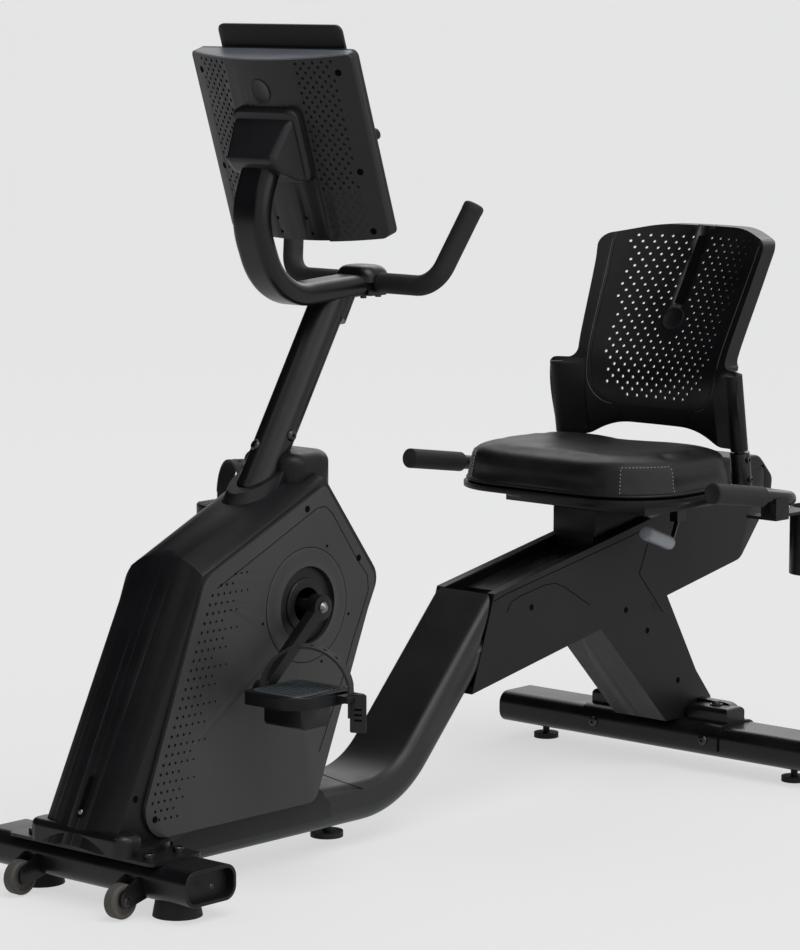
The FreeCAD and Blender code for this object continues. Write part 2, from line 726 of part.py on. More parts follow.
def leg_outline(inset=0.0):
    """Side outline of the leg's cover, from its foot up to the rail covers."""
    front = REAR_STAB_Y - LEG_FOOT_FRONT + inset
    rear = REAR_STAB_Y + LEG_FOOT_REAR - inset
    high = REAR_STAB_Y - LEG_TOP_REAR - inset
    low_z = REAR_TOP - inset / 3
    return [(front, low_z, 0), (rear, low_z, 0), (rear, REAR_TOP + 26, 6), (rear - 43, REAR_TOP + 78, 30),
            (high, rail_point(high, RAIL_DEPTH - inset), 0),
            (REAR_STAB_Y - LEG_TOP_FRONT + inset, rail_point(REAR_STAB_Y - LEG_TOP_FRONT, RAIL_DEPTH - inset), 0)]


def leg_cover(side):
    solid = side_solid(leg_outline(), 0.0, LEG_COVER_HALF)
    hollow = side_solid(leg_outline(COVER_WALL + 1), -1.0, LEG_COVER_HALF - COVER_WALL)
    return sided(solid.cut(hollow).cut(leg_opening()), side)


def rail_cover(side):
    outer = side_solid(rail_outline(), 0.0, COVER_HALF)
    hollow = side_solid(rail_outline(COVER_WALL), -1.0, COVER_HALF - COVER_WALL)
    front = RAIL_TOP_Y - STAB_W
    slot_low = RAIL_SUNK * 2
    channel = side_solid([(front, rail_point(front, slot_low), 0), (REAR_END, rail_point(REAR_END, slot_low), 0),
                          (REAR_END, rail_point(REAR_END, -slot_low), 0), (front, rail_point(front, -slot_low), 0)],
                         -1, TRACK_HALF + COVER_WALL + 1)
    cover = outer.cut(hollow).cut(channel)
    cover = cover.cut(step_layer(SEAT_GAP)).cut(leg_opening())
    return sided(cover, side)


def leg_opening():
    return side_solid(leg_tube_outline(SEAT_GAP), -LEG_TUBE_W / 2 - SEAT_GAP,
                      LEG_TUBE_W / 2 + SEAT_GAP)


def step_cover():
    """Moulded cover over the beam's rise, from the housing up to the rail covers."""
    far_low = rise_meets_rail(STEP_COVER_LOW, RAIL_DEPTH * 0.72)
    far_high = rise_meets_rail(STEP_COVER_TOP, 0.0)
    outline = bend_outline(STEP_COVER_LOW, STEP_COVER_TOP, SHELL_FOOT_Y + SEAT_GAP, far_low, far_high)
    cover = side_solid(outline, -STEP_COVER_HALF, STEP_COVER_HALF)

    def top_edge(edge):
        b = edge.BoundBox
        if b.XLength > 1e-6:
            return False
        mid = edge.valueAt((edge.FirstParameter + edge.LastParameter) / 2)
        return abs(layer_height(mid) - STEP_COVER_TOP) < 0.5

    cover = fillet_where(cover, STEP_EDGE_R, top_edge)
    cover = cover.cut(step_layer(SEAT_GAP))
    cover = cover.cut(side_solid(rail_outline(), -COVER_HALF - SEAT_GAP, COVER_HALF + SEAT_GAP))
    return cover


def shell_outline(inset=0.0):
    """Middle outline of the drive housing, seen from the side."""
    c, s = unit(SHELL_FRONT_ANGLE)
    low = SHELL_LOW_Z + SHELL_FOOT_H
    top_slope = math.tan(math.radians(SHELL_TOP_ANGLE))
    back_slope = math.tan(math.radians(SHELL_REAR_ANGLE))
    top_y = (SHELL_REAR_Z - SHELL_NOSE_Z + top_slope * SHELL_NOSE_Y - back_slope * SHELL_REAR_Y) / (
        top_slope - back_slope)
    top_z = SHELL_NOSE_Z + top_slope * (top_y - SHELL_NOSE_Y)
    front_y = SHELL_NOSE_Y - (SHELL_NOSE_Z - low) * c / s
    i = inset
    return [(front_y + i * 1.6, low + i, 6), (SHELL_NOSE_Y + i * 0.9, SHELL_NOSE_Z - i * 0.8, SHELL_NOSE_R - i),
            (top_y, top_z - i * 1.5, 14), (SHELL_REAR_Y - i * 1.2, SHELL_REAR_Z, 34),
            (SHELL_WAIST_Y - i, SHELL_WAIST_Z + i, 40), (SHELL_FOOT_Y - i, low + i, 4),
            (SHELL_FOOT_Y - i, SHELL_LOW_Z + i, 0), (SHELL_STEP_Y + i, SHELL_LOW_Z + i, 0),
            (SHELL_STEP_Y + i, low + i, 0)]


def crown_prism(y, z, angle, crown, inset):
    """All that lies behind a face bulging across the bike, on a line at an angle through a point."""
    c, s = unit(angle)
    outward = V(0, -s, c)
    along = V(0, c, s)
    centre = V(0, y, z) - along * CROWN_REACH - outward * inset
    left = centre + V(-SHELL_HALF, 0, 0) - outward * crown
    right = centre + V(SHELL_HALF, 0, 0) - outward * crown
    deep = outward * -CROWN_REACH
    wire = Part.Wire([Part.Arc(left, centre, right).toShape(), Part.makeLine(right, right + deep),
                      Part.makeLine(right + deep, left + deep), Part.makeLine(left + deep, left)])
    return Part.Face(wire).extrude(along * CROWN_REACH * 2)


def shell_body(x0, x1, grow=0.0):
    """Housing as a solid, its front and top faces bulging towards the middle."""
    body = side_solid(shell_outline(-grow), x0, x1)
    trim = CROWN_TRIM - grow
    body = body.common(crown_prism(SHELL_NOSE_Y, SHELL_NOSE_Z, SHELL_FRONT_ANGLE, FRONT_CROWN, trim))
    return body.common(crown_prism(SHELL_NOSE_Y, SHELL_NOSE_Z, SHELL_TOP_ANGLE, TOP_CROWN, trim))


def drive_shell(side):
    shell = shell_body(0.0, SHELL_HALF).cut(shell_body(-1.0, SHELL_HALF - SHELL_WALL, -SHELL_WALL))
    shell = shell.cut(x_rod(0, SHELL_HALF + 1, CRANK_Y, CRANK_Z, HUB_HOLE_R))
    shell = shell.cut(mast_solid(COLLAR_R + SEAT_GAP, COLLAR_LOW_Z, MAST_TOP_Z))
    shell = shell.cut(box(-1, BEAM_HALF + SEAT_GAP, 0, SHELL_REAR_Y, 0, BEAM_TOP + SEAT_GAP))
    shell = shell.cut(box(-1, SHELL_HALF + 1, -STAB_W, STAB_W / 2 + SEAT_GAP, 0, PLATE_TOP))
    return sided(shell, side)


def panel_outline():
    return [(PANEL_LOW_Y + 4, PANEL_LOW_Z, 42), (SHELL_NOSE_Y + 1.5, SHELL_NOSE_Z - TOP_CROWN - 6, 40),
            (PANEL_PEAK_Y, PANEL_PEAK_Z, 10), (SHELL_REAR_Y - 12, SHELL_REAR_Z - 2, 34),
            (SHELL_WAIST_Y, PANEL_LOW_Z, 24)]


def side_panel(side):
    """Flat cover with a shallow dish round the crank."""
    outer = SHELL_HALF + PANEL_T
    panel = side_solid(panel_outline(), SHELL_HALF, outer)
    panel = panel.cut(x_rod(0, outer + 1, CRANK_Y, CRANK_Z, BEZEL_R + SEAT_GAP))
    dish = Part.makeCone(BEZEL_R, DISH_R, BEZEL_T_LOW, V(outer - BEZEL_T_LOW, CRANK_Y, CRANK_Z), V(1, 0, 0))
    return sided(panel.cut(dish), side)


def crank_bezel(side):
    ring = x_rod(SHELL_HALF, SHELL_HALF + BEZEL_T_LOW, CRANK_Y, CRANK_Z, BEZEL_R)
    ring = ring.fuse(x_rod(SHELL_HALF, SHELL_HALF + PANEL_T + 1, CRANK_Y, CRANK_Z, HUB_RING_R))
    ring = ring.cut(x_rod(0, SHELL_HALF + PANEL_T * 2, CRANK_Y, CRANK_Z, HUB_HOLE_R))
    return sided(ring.removeSplitter(), side)


def mast_axis_point(z):
    c, s = unit(MAST_ANGLE)
    return V(0, MAST_LOW_Y + (z - MAST_LOW_Z) * c / s, z)


def mast_solid(radius, z0, z1):
    return rod(mast_axis_point(z0), mast_axis_point(z1), radius)


def front_post():
    """Steel post inside the housing, with the plates of the drive."""
    post = mast_solid(MAST_R - MAST_WALL - RUN_FIT, POST_LOW_Z, POST_TOP_Z)
    plates = None
    outline = [(FLYWHEEL_Y - 130, BEAM_TOP, 0), (FLYWHEEL_Y + 50, BEAM_TOP, 0), (FLYWHEEL_Y + 60, FLYWHEEL_Z, 20),
               (CRANK_Y + 26, CRANK_Z, 20), (CRANK_Y, CRANK_Z + 34, 20),
               (CRANK_Y - 92, CRANK_Z + 64, 0), (FLYWHEEL_Y - 130, FLYWHEEL_Z + 62, 0)]
    for side in (-1, 1):
        x0 = side * DRIVE_PLATE_X
        x1 = side * (DRIVE_PLATE_X + DRIVE_PLATE_T)
        plate = side_solid(outline, min(x0, x1), max(x0, x1))
        plates = plate if plates is None else plates.fuse(plate)
    reach = DRIVE_PLATE_X + DRIVE_PLATE_T
    bearing = x_rod(-reach, reach, CRANK_Y, CRANK_Z, SPINDLE_R + 8)
    low = FLYWHEEL_Z + FLYWHEEL_R + 9
    bridge = side_solid([(FLYWHEEL_Y - 90, low, 0), (FLYWHEEL_Y - 20, low, 0), (FLYWHEEL_Y + 20, low + 95, 0),
                         (FLYWHEEL_Y - 40, low + 95, 0)], -DRIVE_PLATE_X, DRIVE_PLATE_X)
    frame = post.fuse([plates, bearing, bridge])
    frame = frame.cut(x_rod(-STAB_W, STAB_W, CRANK_Y, CRANK_Z, SPINDLE_R + RUN_FIT))
    return frame.cut(x_rod(-STAB_W, STAB_W, FLYWHEEL_Y, FLYWHEEL_Z, FLYWHEEL_AXLE_R)).removeSplitter()


def flywheel():
    disc = x_rod(-FLYWHEEL_W / 2, FLYWHEEL_W / 2, FLYWHEEL_Y, FLYWHEEL_Z, FLYWHEEL_R)
    reach = DRIVE_PLATE_X + DRIVE_PLATE_T
    axle = x_rod(-reach, reach, FLYWHEEL_Y, FLYWHEEL_Z, FLYWHEEL_AXLE_R)
    return disc.fuse(axle).removeSplitter()


def mast():
    tube = mast_solid(MAST_R, MAST_FOOT_Z, MAST_TOP_Z)
    bore = mast_solid(MAST_R - MAST_WALL, MAST_FOOT_Z - 5, MAST_TOP_Z - 8)
    return tube.cut(bore).cut(arm_solid(0.0))


def collar():
    """Lip of the housing round the mast, cut off parallel to the housing's top."""
    ring = mast_solid(COLLAR_R, MAST_FOOT_Z - 50, MAST_TOP_Z)
    slope = math.tan(math.radians(SHELL_TOP_ANGLE))
    front = CRANK_Y - STAB_W
    rear = CRANK_Y + STAB_W
    lip = SHELL_NOSE_Z + COLLAR_LIP
    below = side_solid([(front, CRANK_Z, 0), (rear, CRANK_Z, 0), (rear, lip + slope * (rear - SHELL_NOSE_Y), 0),
                        (front, lip + slope * (front - SHELL_NOSE_Y), 0)], -SHELL_HALF, SHELL_HALF)
    return ring.common(below)


def top_cap():
    """Rounded hump behind the mast, in one moulding with the collar."""
    hump = plan_solid([(-HUMP_HALF, HUMP_FRONT_Y, 30), (HUMP_HALF, HUMP_FRONT_Y, 30),
                       (HUMP_HALF, HUMP_REAR_Y, HUMP_CORNER_R), (-HUMP_HALF, HUMP_REAR_Y, HUMP_CORNER_R)],
                      HUMP_LOW_Z, HUMP_TOP_Z)
    hump = round_top(hump, HUMP_TOP_Z, HUMP_EDGE_R)
    hump = hump.cut(shell_body(-SHELL_HALF, SHELL_HALF, SEAT_GAP))
    cap = hump.fuse(collar()).removeSplitter()
    return cap.cut(mast_solid(MAST_R + SEAT_GAP, COLLAR_LOW_Z - 50, MAST_TOP_Z))


def arm_path():
    return [(V(0, BAR_Y + ARM_PAST_BAR, BAR_Z - 1), 0), (V(0, ARM_CURL_Y, ARM_CURL_Z), 96),
            (V(0, ARM_FRONT_Y, ARM_FRONT_Z), 110), (V(0, ARM_CURL_Y, ARM_TOP_Z), 0)]


def arm_section(place, heading, grow):
    """Flat-oval face across the arm."""
    across = V(1, 0, 0)
    up = heading.cross(across).normalize()
    half_t = ARM_T / 2 + grow
    half_w = ARM_W / 2 + grow
    r = half_t - ARM_FLAT
    corners = [(place + across * a * half_w + up * b * half_t, r) for a, b in ((-1, -1), (1, -1), (1, 1), (-1, 1))]
    return Part.Face(rounded_wire(corners))


def arm_solid(grow):
    """Flat-oval tube that curls forward from the handlebar and up to the console."""
    return swept(arm_path(), lambda place, heading: arm_section(place, heading, grow))


def console_arm():
    arm = arm_solid(0.0).cut(x_rod(-ARM_W, ARM_W, BAR_Y, BAR_Z, BAR_R))
    return arm.cut(console_place(console_block(-SEAT_GAP)))


def bar_path(side, start_x):
    return [(V(side * start_x, BAR_Y, BAR_Z), 0), (V(side * BAR_BEND_X, BAR_Y, BAR_Z), BAR_BEND_R),
            (V(side * BAR_END_X, BAR_END_Y, BAR_END_Z), 0)]


def handlebar():
    bar = x_rod(-CLAMP_HALF, CLAMP_HALF, BAR_Y, BAR_Z, BAR_R)
    return bar.fuse([bent_rod(bar_path(side, CLAMP_HALF), BAR_R) for side in (-1, 1)]).removeSplitter()


def handlebar_grip(side):
    sleeve = bent_rod(bar_path(side, CLAMP_HALF + 6), GRIP_R)
    end = V(side * BAR_END_X, BAR_END_Y, BAR_END_Z)
    direction = (end - V(side * BAR_BEND_X, BAR_Y, BAR_Z)).normalize()
    sleeve = sleeve.fuse(rod(end, end + direction * GRIP_END, GRIP_R)).removeSplitter()
    return sleeve.cut(handlebar())


def handlebar_clamp():
    """Saddle under the bar at the end of the arm."""
    saddle = side_solid([(BAR_Y - CLAMP_REACH, BAR_Z - CLAMP_H, 4), (BAR_Y + CLAMP_REACH, BAR_Z - CLAMP_H, 8),
                         (BAR_Y + CLAMP_REACH, BAR_Z, 0), (BAR_Y - CLAMP_REACH, BAR_Z, 0)],
                        -CLAMP_HALF, CLAMP_HALF)
    return saddle.cut(arm_solid(SEAT_GAP)).cut(x_rod(-CLAMP_HALF - 1, CLAMP_HALF + 1, BAR_Y, BAR_Z, BAR_R))


def clamp_cover():
    """Domed cap over the bar."""
    half = CLAMP_REACH + 3
    cap = side_solid([(BAR_Y - half, BAR_Z, 0), (BAR_Y + half, BAR_Z, 0), (BAR_Y + half, BAR_Z + CLAMP_H, 14),
                      (BAR_Y - half, BAR_Z + CLAMP_H, 14)], -CLAMP_HALF, CLAMP_HALF)
    cap = fillet_where(cap, 6, lambda e: e.BoundBox.XLength < GAP_TEST and e.BoundBox.ZMax > BAR_Z + 1
                       and e.BoundBox.ZMin > BAR_Z - 1)
    return cap.cut(arm_solid(SEAT_GAP)).cut(x_rod(-CLAMP_HALF - 1, CLAMP_HALF + 1, BAR_Y, BAR_Z, BAR_R))


# Console, made upright with its screen face on y = 0, then tilted

def console_place(shape):
    shape = shape.copy()
    shape.rotate(V(0, 0, 0), V(1, 0, 0), CONSOLE_TILT)
    shape.translate(V(0, CONSOLE_Y, CONSOLE_Z))
    return shape


def console_block(trim=0.0):
    """Body behind the screen, its back bulging across."""
    half = CONSOLE_W / 2 + 1
    mid_y = -CONSOLE_MID_T + trim
    edge_y = -CONSOLE_EDGE_T + trim
    z0 = -CONSOLE_H / 2
    points = [V(-half, 0, z0), V(-half, edge_y, z0), V(half, edge_y, z0), V(half, 0, z0)]
    arc = Part.Arc(points[1], V(0, mid_y, z0), points[2]).toShape()
    wire = Part.Wire([Part.makeLine(points[0], points[1]), arc, Part.makeLine(points[2], points[3]),
                      Part.makeLine(points[3], points[0])])
    return Part.Face(wire).extrude(V(0, 0, CONSOLE_H))


def console_front(radius, y0, y1):
    """Plate with the console's outline seen from the screen side."""
    half = CONSOLE_W / 2
    rise = CONSOLE_H / 2
    return front_solid([(-half, -rise, radius), (half, -rise, radius), (half, rise, radius), (-half, rise, radius)],
                       y0, y1)


def console_top_slab():
    rise = CONSOLE_H / 2
    return box(-CONSOLE_W, CONSOLE_W, -CONSOLE_W, 0, rise - CONSOLE_TOP_T, rise + 1)


def console_shell():
    """Back of the console, with a shallow channel down its middle."""
    block = console_block().common(console_front(CONSOLE_CORNER_R, -CONSOLE_MID_T, 0))
    channel = box(-CHANNEL_HALF, CHANNEL_HALF, -CONSOLE_MID_T, 0, -CONSOLE_H, CHANNEL_TOP)
    channel = channel.cut(console_block(CHANNEL_DEPTH))
    return console_place(block.cut(channel).cut(console_top_slab()))


def console_top():
    """Pale plate that closes the console's top."""
    block = console_block().common(console_front(CONSOLE_CORNER_R, -CONSOLE_MID_T, 0))
    return console_place(block.common(console_top_slab()))


def console_bezel():
    return console_place(console_front(CONSOLE_CORNER_R, 0, BEZEL_T).cut(screen_block(SEAT_GAP, 1)))


def screen_block(grow=0.0, proud=0.0):
    return box(-SCREEN_HALF - grow, SCREEN_HALF + grow, BEZEL_T - SCREEN_T, BEZEL_T + proud,
               SCREEN_LOW - grow, SCREEN_HIGH + grow)


def console_screen():
    return console_place(screen_block())


def media_rack():
    """Ledge and back plate that hold a tablet in front of the console's top."""
    rise = CONSOLE_H / 2
    plate = front_solid([(-RACK_HALF, rise - RACK_LOW, 4), (RACK_HALF, rise - RACK_LOW, 4),
                         (RACK_HALF, rise + RACK_UP, RACK_CORNER_R), (-RACK_HALF, rise + RACK_UP, RACK_CORNER_R)],
                        RACK_OUT, RACK_OUT + RACK_T)
    ledge = box(-RACK_HALF + 6, RACK_HALF - 6, BEZEL_T, RACK_OUT, rise - RACK_LOW + 4, rise - RACK_LOW + 10)
    return console_place(plate.fuse(ledge).removeSplitter())


def console_bracket():
    """Wedge-shaped hood on the console's back that takes the end of the arm."""
    outline = [(-CONSOLE_EDGE_T, 64, 0), (-CONSOLE_MID_T - 2, 63, 4), (-62, 54, 6), (-HOOD_DEPTH, 6, 9),
               (-HOOD_DEPTH + 17, -19, 12), (-CONSOLE_MID_T - 9, -47, 6), (-CONSOLE_EDGE_T, -47, 0)]
    hood = side_solid(outline, -HOOD_HALF, HOOD_HALF)
    sides = [(-HOOD_HALF, 0, 0), (HOOD_HALF, 0, 0), (HOOD_HALF, -CONSOLE_MID_T - 2, 6),
             (HOOD_NOSE_HALF, -HOOD_DEPTH - 1, 10), (-HOOD_NOSE_HALF, -HOOD_DEPTH - 1, 10),
             (-HOOD_HALF, -CONSOLE_MID_T - 2, 6)]
    hood = hood.common(plan_solid(sides, -CONSOLE_H / 2, CONSOLE_H / 2))
    hood = console_place(hood.cut(console_block()))
    return hood.cut(arm_solid(SEAT_GAP))


def console_knob():
    knob = Part.makeCylinder(KNOB_R, KNOB_L, V(CONSOLE_W / 2 - KNOB_R - 5, BEZEL_T, 8), V(0, 1, 0))
    return console_place(knob)


# Cranks and pedals

def crank_end(side):
    c, s = unit(CRANK_ANGLE if side > 0 else CRANK_ANGLE + 180)
    return CRANK_Y + CRANK_LEN * c, CRANK_Z + CRANK_LEN * s


def crank_spindle():
    return x_rod(-ARM_INNER_X, ARM_INNER_X, CRANK_Y, CRANK_Z, SPINDLE_R)


def crank_arm(side):
    """Forged arm with a boss at each end and the pedal's pin."""
    y, z = crank_end(side)
    c, s = unit(CRANK_ANGLE if side > 0 else CRANK_ANGLE + 180)
    w0 = CRANK_HALF_W
    w1 = CRANK_END_HALF_W
    outline = [(CRANK_Y - s * w0, CRANK_Z + c * w0, 0), (y - s * w1, z + c * w1, 0),
               (y + s * w1, z - c * w1, 0), (CRANK_Y + s * w0, CRANK_Z - c * w0, 0)]
    arm = side_solid(outline, ARM_INNER_X + ARM_BACK, ARM_OUTER_X)
    arm = arm.fuse(x_rod(ARM_INNER_X, ARM_OUTER_X, CRANK_Y, CRANK_Z, CRANK_BOSS_R))
    arm = arm.fuse(x_rod(ARM_INNER_X + ARM_BACK, ARM_OUTER_X, y, z, CRANK_END_R))
    arm = arm.fuse(x_rod(ARM_OUTER_X - 1, PEDAL_IN_X + PEDAL_W - PEDAL_END_WALL, y, z, PEDAL_PIN_R))
    return sided(arm.removeSplitter(), side)


def pedal(side):
    """Platform with a weighted underside and a lug for the strap, on its pin."""
    y, z = crank_end(side)
    x0 = PEDAL_IN_X
    x1 = PEDAL_IN_X + PEDAL_W
    y0 = y - PEDAL_L / 2
    y1 = y + PEDAL_L / 2
    low = z - PEDAL_H / 2
    body = plan_solid([(x0, y0, PEDAL_CORNER_R), (x1, y0, PEDAL_ROUND_R), (x1, y1, PEDAL_CORNER_R),
                       (x0, y1, PEDAL_CORNER_R)], low, z + PEDAL_H / 2)
    body = round_top(body, z + PEDAL_H / 2, 3)
    lug = box(x1 - PEDAL_CORNER_R, x1 + LUG_REACH, y1 - STRAP_W - 16, y1 - 4, z - PEDAL_H / 4, z + PEDAL_H / 4)
    weight = box(x0 + 18, x1 - 22, y - WEIGHT_HALF, y + WEIGHT_HALF, low - WEIGHT_DEPTH, low)
    weight = fillet_where(weight, 9, lambda e: e.BoundBox.ZMax < low - WEIGHT_DEPTH + 1 and
                          e.BoundBox.YLength < GAP_TEST)
    bore = x_rod(x0 - 1, x1 - PEDAL_END_WALL + 0.5, y, z, PEDAL_PIN_R + RUN_FIT / 2)
    return sided(body.fuse([weight, lug]).removeSplitter().cut(strap_tail(side, 1.0)).cut(bore), side)


def strap_ends(side):
    """Where the strap leaves the platform, and where it enters the lug's slot."""
    y, z = crank_end(side)
    top = z + PEDAL_H / 2
    start = V(PEDAL_IN_X + PEDAL_CORNER_R / 2, y - STRAP_W, top)
    end = V(PEDAL_IN_X + PEDAL_W + LUG_REACH - STRAP_T - 5, y + PEDAL_L / 2 - STRAP_W / 2 - 10, top)
    return start, end


def pedal_strap(side):
    """Strap over the foot, slanting from the platform's inner edge to the lug, with its tail."""
    start, end = strap_ends(side)
    run = V(end.x - start.x, end.y - start.y, 0).normalize()
    width = V(-run.y, run.x, 0) * STRAP_W
    crown = (start + end) / 2 + V(0, 0, STRAP_RISE)
    edges = [Part.Arc(start, crown, end).toShape(),
             Part.makeLine(end, end - run * STRAP_T),
             Part.Arc(end - run * STRAP_T, crown - V(0, 0, STRAP_T), start + run * STRAP_T).toShape(),
             Part.makeLine(start + run * STRAP_T, start)]
    strap = Part.Face(Part.Wire(edges)).extrude(width)
    strap.translate(-width / 2)
    return sided(strap.fuse(strap_tail(side, 0.0)).removeSplitter(), side)


def strap_tail(side, grow):
    """Free end of the strap, that hangs through the lug."""
    start, end = strap_ends(side)
    run = V(end.x - start.x, end.y - start.y, 0).normalize()
    across = V(-run.y, run.x, 0) * (STRAP_W / 2 + grow)
    near = end - run * (STRAP_T + grow)
    far = end + run * grow
    corners = [near - across, far - across, far + across, near + across, near - across]
    return Part.Face(Part.makePolygon(corners)).extrude(V(0, 0, -STRAP_TAIL))


# Seat

def carriage_block(y0, y1, depth0, depth1, half):
    outline = [(y0, rail_point(y0, depth1), 0), (y1, rail_point(y1, depth1), 0),
               (y1, rail_point(y1, depth0), 0), (y0, rail_point(y0, depth0), 0)]
    return side_solid(outline, -half, half)


def trolley_ends():
    return TROLLEY_Y - TROLLEY_L / 2, TROLLEY_Y + TROLLEY_L / 2




def seat_carriage():
    """Trolley that runs on the track and carries the seat frame."""
    y0, y1 = trolley_ends()
    trolley = carriage_block(y0, y1, -TRAVEL_GAP - 6, RAIL_SUNK - SEAT_GAP, TRACK_HALF - 2)
    top = FRAME_TOP_Z - FRAME_BAR_H
    tower = side_solid([(y0, rail_point(y0, -TRAVEL_GAP), 0), (y1, rail_point(y1, -TRAVEL_GAP), 0),
                        (y1, top, 0), (y0, top, 0)], -TOWER_HALF, TOWER_HALF)
    return trolley.fuse(tower).removeSplitter()


def seat_frame():
    """Welded bars under the pan, the tube that bears the side handles and the back's sleeves."""
    z0 = FRAME_TOP_Z - FRAME_BAR_H
    y0, y1 = trolley_ends()
    bars = [box(-SEAT_BAR_X, SEAT_BAR_X, y, y + SEAT_BAR_W, z0, FRAME_TOP_Z) for y in (y0, y1 - SEAT_BAR_W)]
    bars.append(box(-TOWER_HALF, TOWER_HALF, y0, y1, z0, FRAME_TOP_Z))
    tube = bent_rod(handle_path(), HANDLE_TUBE_R)
    for side in (-1, 1):
        xa = side * (SEAT_BAR_X - SEAT_BAR_W)
        xb = side * SEAT_BAR_X
        bars.append(box(min(xa, xb), max(xa, xb), y0, CROSS_TUBE_Y, z0, FRAME_TOP_Z))
        low, high = post_line(side)
        bars.append(rod(low, high, POST_SLEEVE_R))
        bars.append(rod(low, post_top(side), BACK_POST_R))
    return tube.fuse(bars).removeSplitter()


def post_top(side):
    low, high = post_line(side)
    return high + (high - low).normalize() * BACK_POST_REACH


def post_line(side):
    drop = BACK_LOW_Z - CROSS_TUBE_Z + 6
    low = V(side * BACK_POST_X, BACK_LOW_Y + POST_BEHIND + POST_SLOPE * drop, CROSS_TUBE_Z - 10)
    high = V(side * BACK_POST_X, BACK_LOW_Y + POST_BEHIND, BACK_LOW_Z - 4)
    return low, high


def seat_plan(grow, z0, z1):
    half = SEAT_HALF + grow
    return plan_solid([(-half, SEAT_FRONT_Y - grow, SEAT_FRONT_R), (half, SEAT_FRONT_Y - grow, SEAT_FRONT_R),
                       (half, SEAT_REAR_Y + grow, SEAT_REAR_R), (-half, SEAT_REAR_Y + grow, SEAT_REAR_R)], z0, z1)


def seat_pan():
    """Thin tray under the cushion, on a thicker plate."""
    return seat_plan(2.0, SEAT_Z, SEAT_LIP_Z).fuse(seat_plan(-PAN_INSET, SEAT_Z - PAN_T, SEAT_Z)).removeSplitter()


def seat_cushion():
    top = SEAT_LIP_Z + CUSHION_H
    return round_top(seat_plan(0.0, SEAT_LIP_Z + SEAT_GAP, top), top, CUSHION_EDGE_R)


def handle_end(distance):
    c, s = unit(-HANDLE_SLOPE)
    return V(HANDLE_X, HANDLE_FRONT_Y + distance * c, HANDLE_FRONT_Z + distance * s)


def handle_path():
    """One tube from grip to grip, round behind the seat."""
    start = handle_end(HANDLE_GRIP_END)
    turn = handle_end(HANDLE_TURN)
    inner = V(CROSS_TUBE_X, CROSS_TUBE_Y, CROSS_TUBE_Z)
    flip = [V(-p.x, p.y, p.z) for p in (inner, turn, start)]
    return [(start, 0), (turn, HANDLE_TURN_R), (inner, HANDLE_INNER_R), (flip[0], HANDLE_INNER_R),
            (flip[1], HANDLE_TURN_R), (flip[2], 0)]


def handle_grip(side):
    grip = rod(handle_end(0), handle_end(HANDLE_GRIP_L), HANDLE_R)
    bore = rod(handle_end(HANDLE_GRIP_END), handle_end(HANDLE_GRIP_L + 10), HANDLE_TUBE_R)
    return sided(grip.cut(bore), side)


def bottle_holder():
    """Cup on the near end of the handle tube."""
    cup = Part.makeCylinder(CUP_R, CUP_TOP_Z - CUP_LOW_Z, V(CUP_X, CUP_Y, CUP_LOW_Z))
    hollow = Part.makeCylinder(CUP_R - CUP_WALL, CUP_TOP_Z, V(CUP_X, CUP_Y, CUP_LOW_Z + CUP_WALL))
    saddle_y = HANDLE_FRONT_Y + HANDLE_GRIP_L + 20
    half = HANDLE_TUBE_R + CUP_WALL
    tab = box(CUP_X - CUP_R / 2, CUP_X + CUP_R / 2, saddle_y, CUP_Y - CUP_R + 4, CUP_TOP_Z - CUP_TAB_T, CUP_TOP_Z)
    saddle = box(HANDLE_X - half, HANDLE_X + half, saddle_y, saddle_y + 36,
                 CUP_TOP_Z - CUP_TAB_T, handle_end(HANDLE_GRIP_L + 38).z)
    cup = cup.fuse([tab, saddle]).cut(hollow)
    return cup.cut(bent_rod(handle_path(), HANDLE_TUBE_R)).removeSplitter()


def adjust_lever():
    """Grip and rod that free the trolley, hung under the seat's side bar."""
    root = V(LEVER_ROOT_X, CROSS_TUBE_Y - 86, 446.0)
    near = root + V(24, -50, -37)
    tip = near + V(32, -110, 34)
    stem = rod(root, near, LEVER_ROD_R).fuse([rod(near, tip, LEVER_ROD_R), Part.makeSphere(LEVER_ROD_R, near)])
    mount = box(root.x - 8, root.x + 8, root.y - 12, root.y + 12, root.z - 6, FRAME_TOP_Z - FRAME_BAR_H)
    grip = rod(near + (tip - near) * 0.06, tip, LEVER_R)
    return stem.fuse([grip, mount]).removeSplitter()


# Seat back: a shell hollowed across and bent along its height, cut to its front outline

def back_side_y(z):
    """Station of the back's front face at its sides, at a height."""
    y = BACK_LOW_Y - BACK_WING_SLOPE * (min(z, BACK_BEND_Z) - BACK_LOW_Z)
    rise = max(0.0, z - BACK_BEND_Z)
    return y + rise * math.tan(math.radians(BACK_LEAN))


def back_section(z, front, rear):
    """Closed curve across the back at a height, between two depths behind its face."""
    sag = BACK_SAG_LOW + BACK_SAG_RISE * (z - BACK_LOW_Z)
    side_y = back_side_y(z)
    half = BACK_HALF + 1
    edge_y = side_y - sag * ((half / BACK_SIDE_X) ** 2 - 1)
    corners = [V(-half, edge_y + front, z), V(half, edge_y + front, z), V(half, edge_y + rear, z),
               V(-half, edge_y + rear, z)]
    near = Part.Arc(corners[0], V(0, side_y + sag + front, z), corners[1]).toShape()
    far = Part.Arc(corners[2], V(0, side_y + sag + rear, z), corners[3]).toShape()
    return Part.Wire([near, Part.makeLine(corners[1], corners[2]), far, Part.makeLine(corners[3], corners[0])])


def back_layer(front, rear):
    """Curved slab between two depths behind the face, through sections up its height."""
    low = BACK_LOW_Z - 24
    step = (BACK_TOP_Z + 24 - low) / BACK_SECTIONS
    sections = [back_section(low + i * step, front, rear) for i in range(BACK_SECTIONS + 1)]
    return Part.makeLoft(sections, True, False)


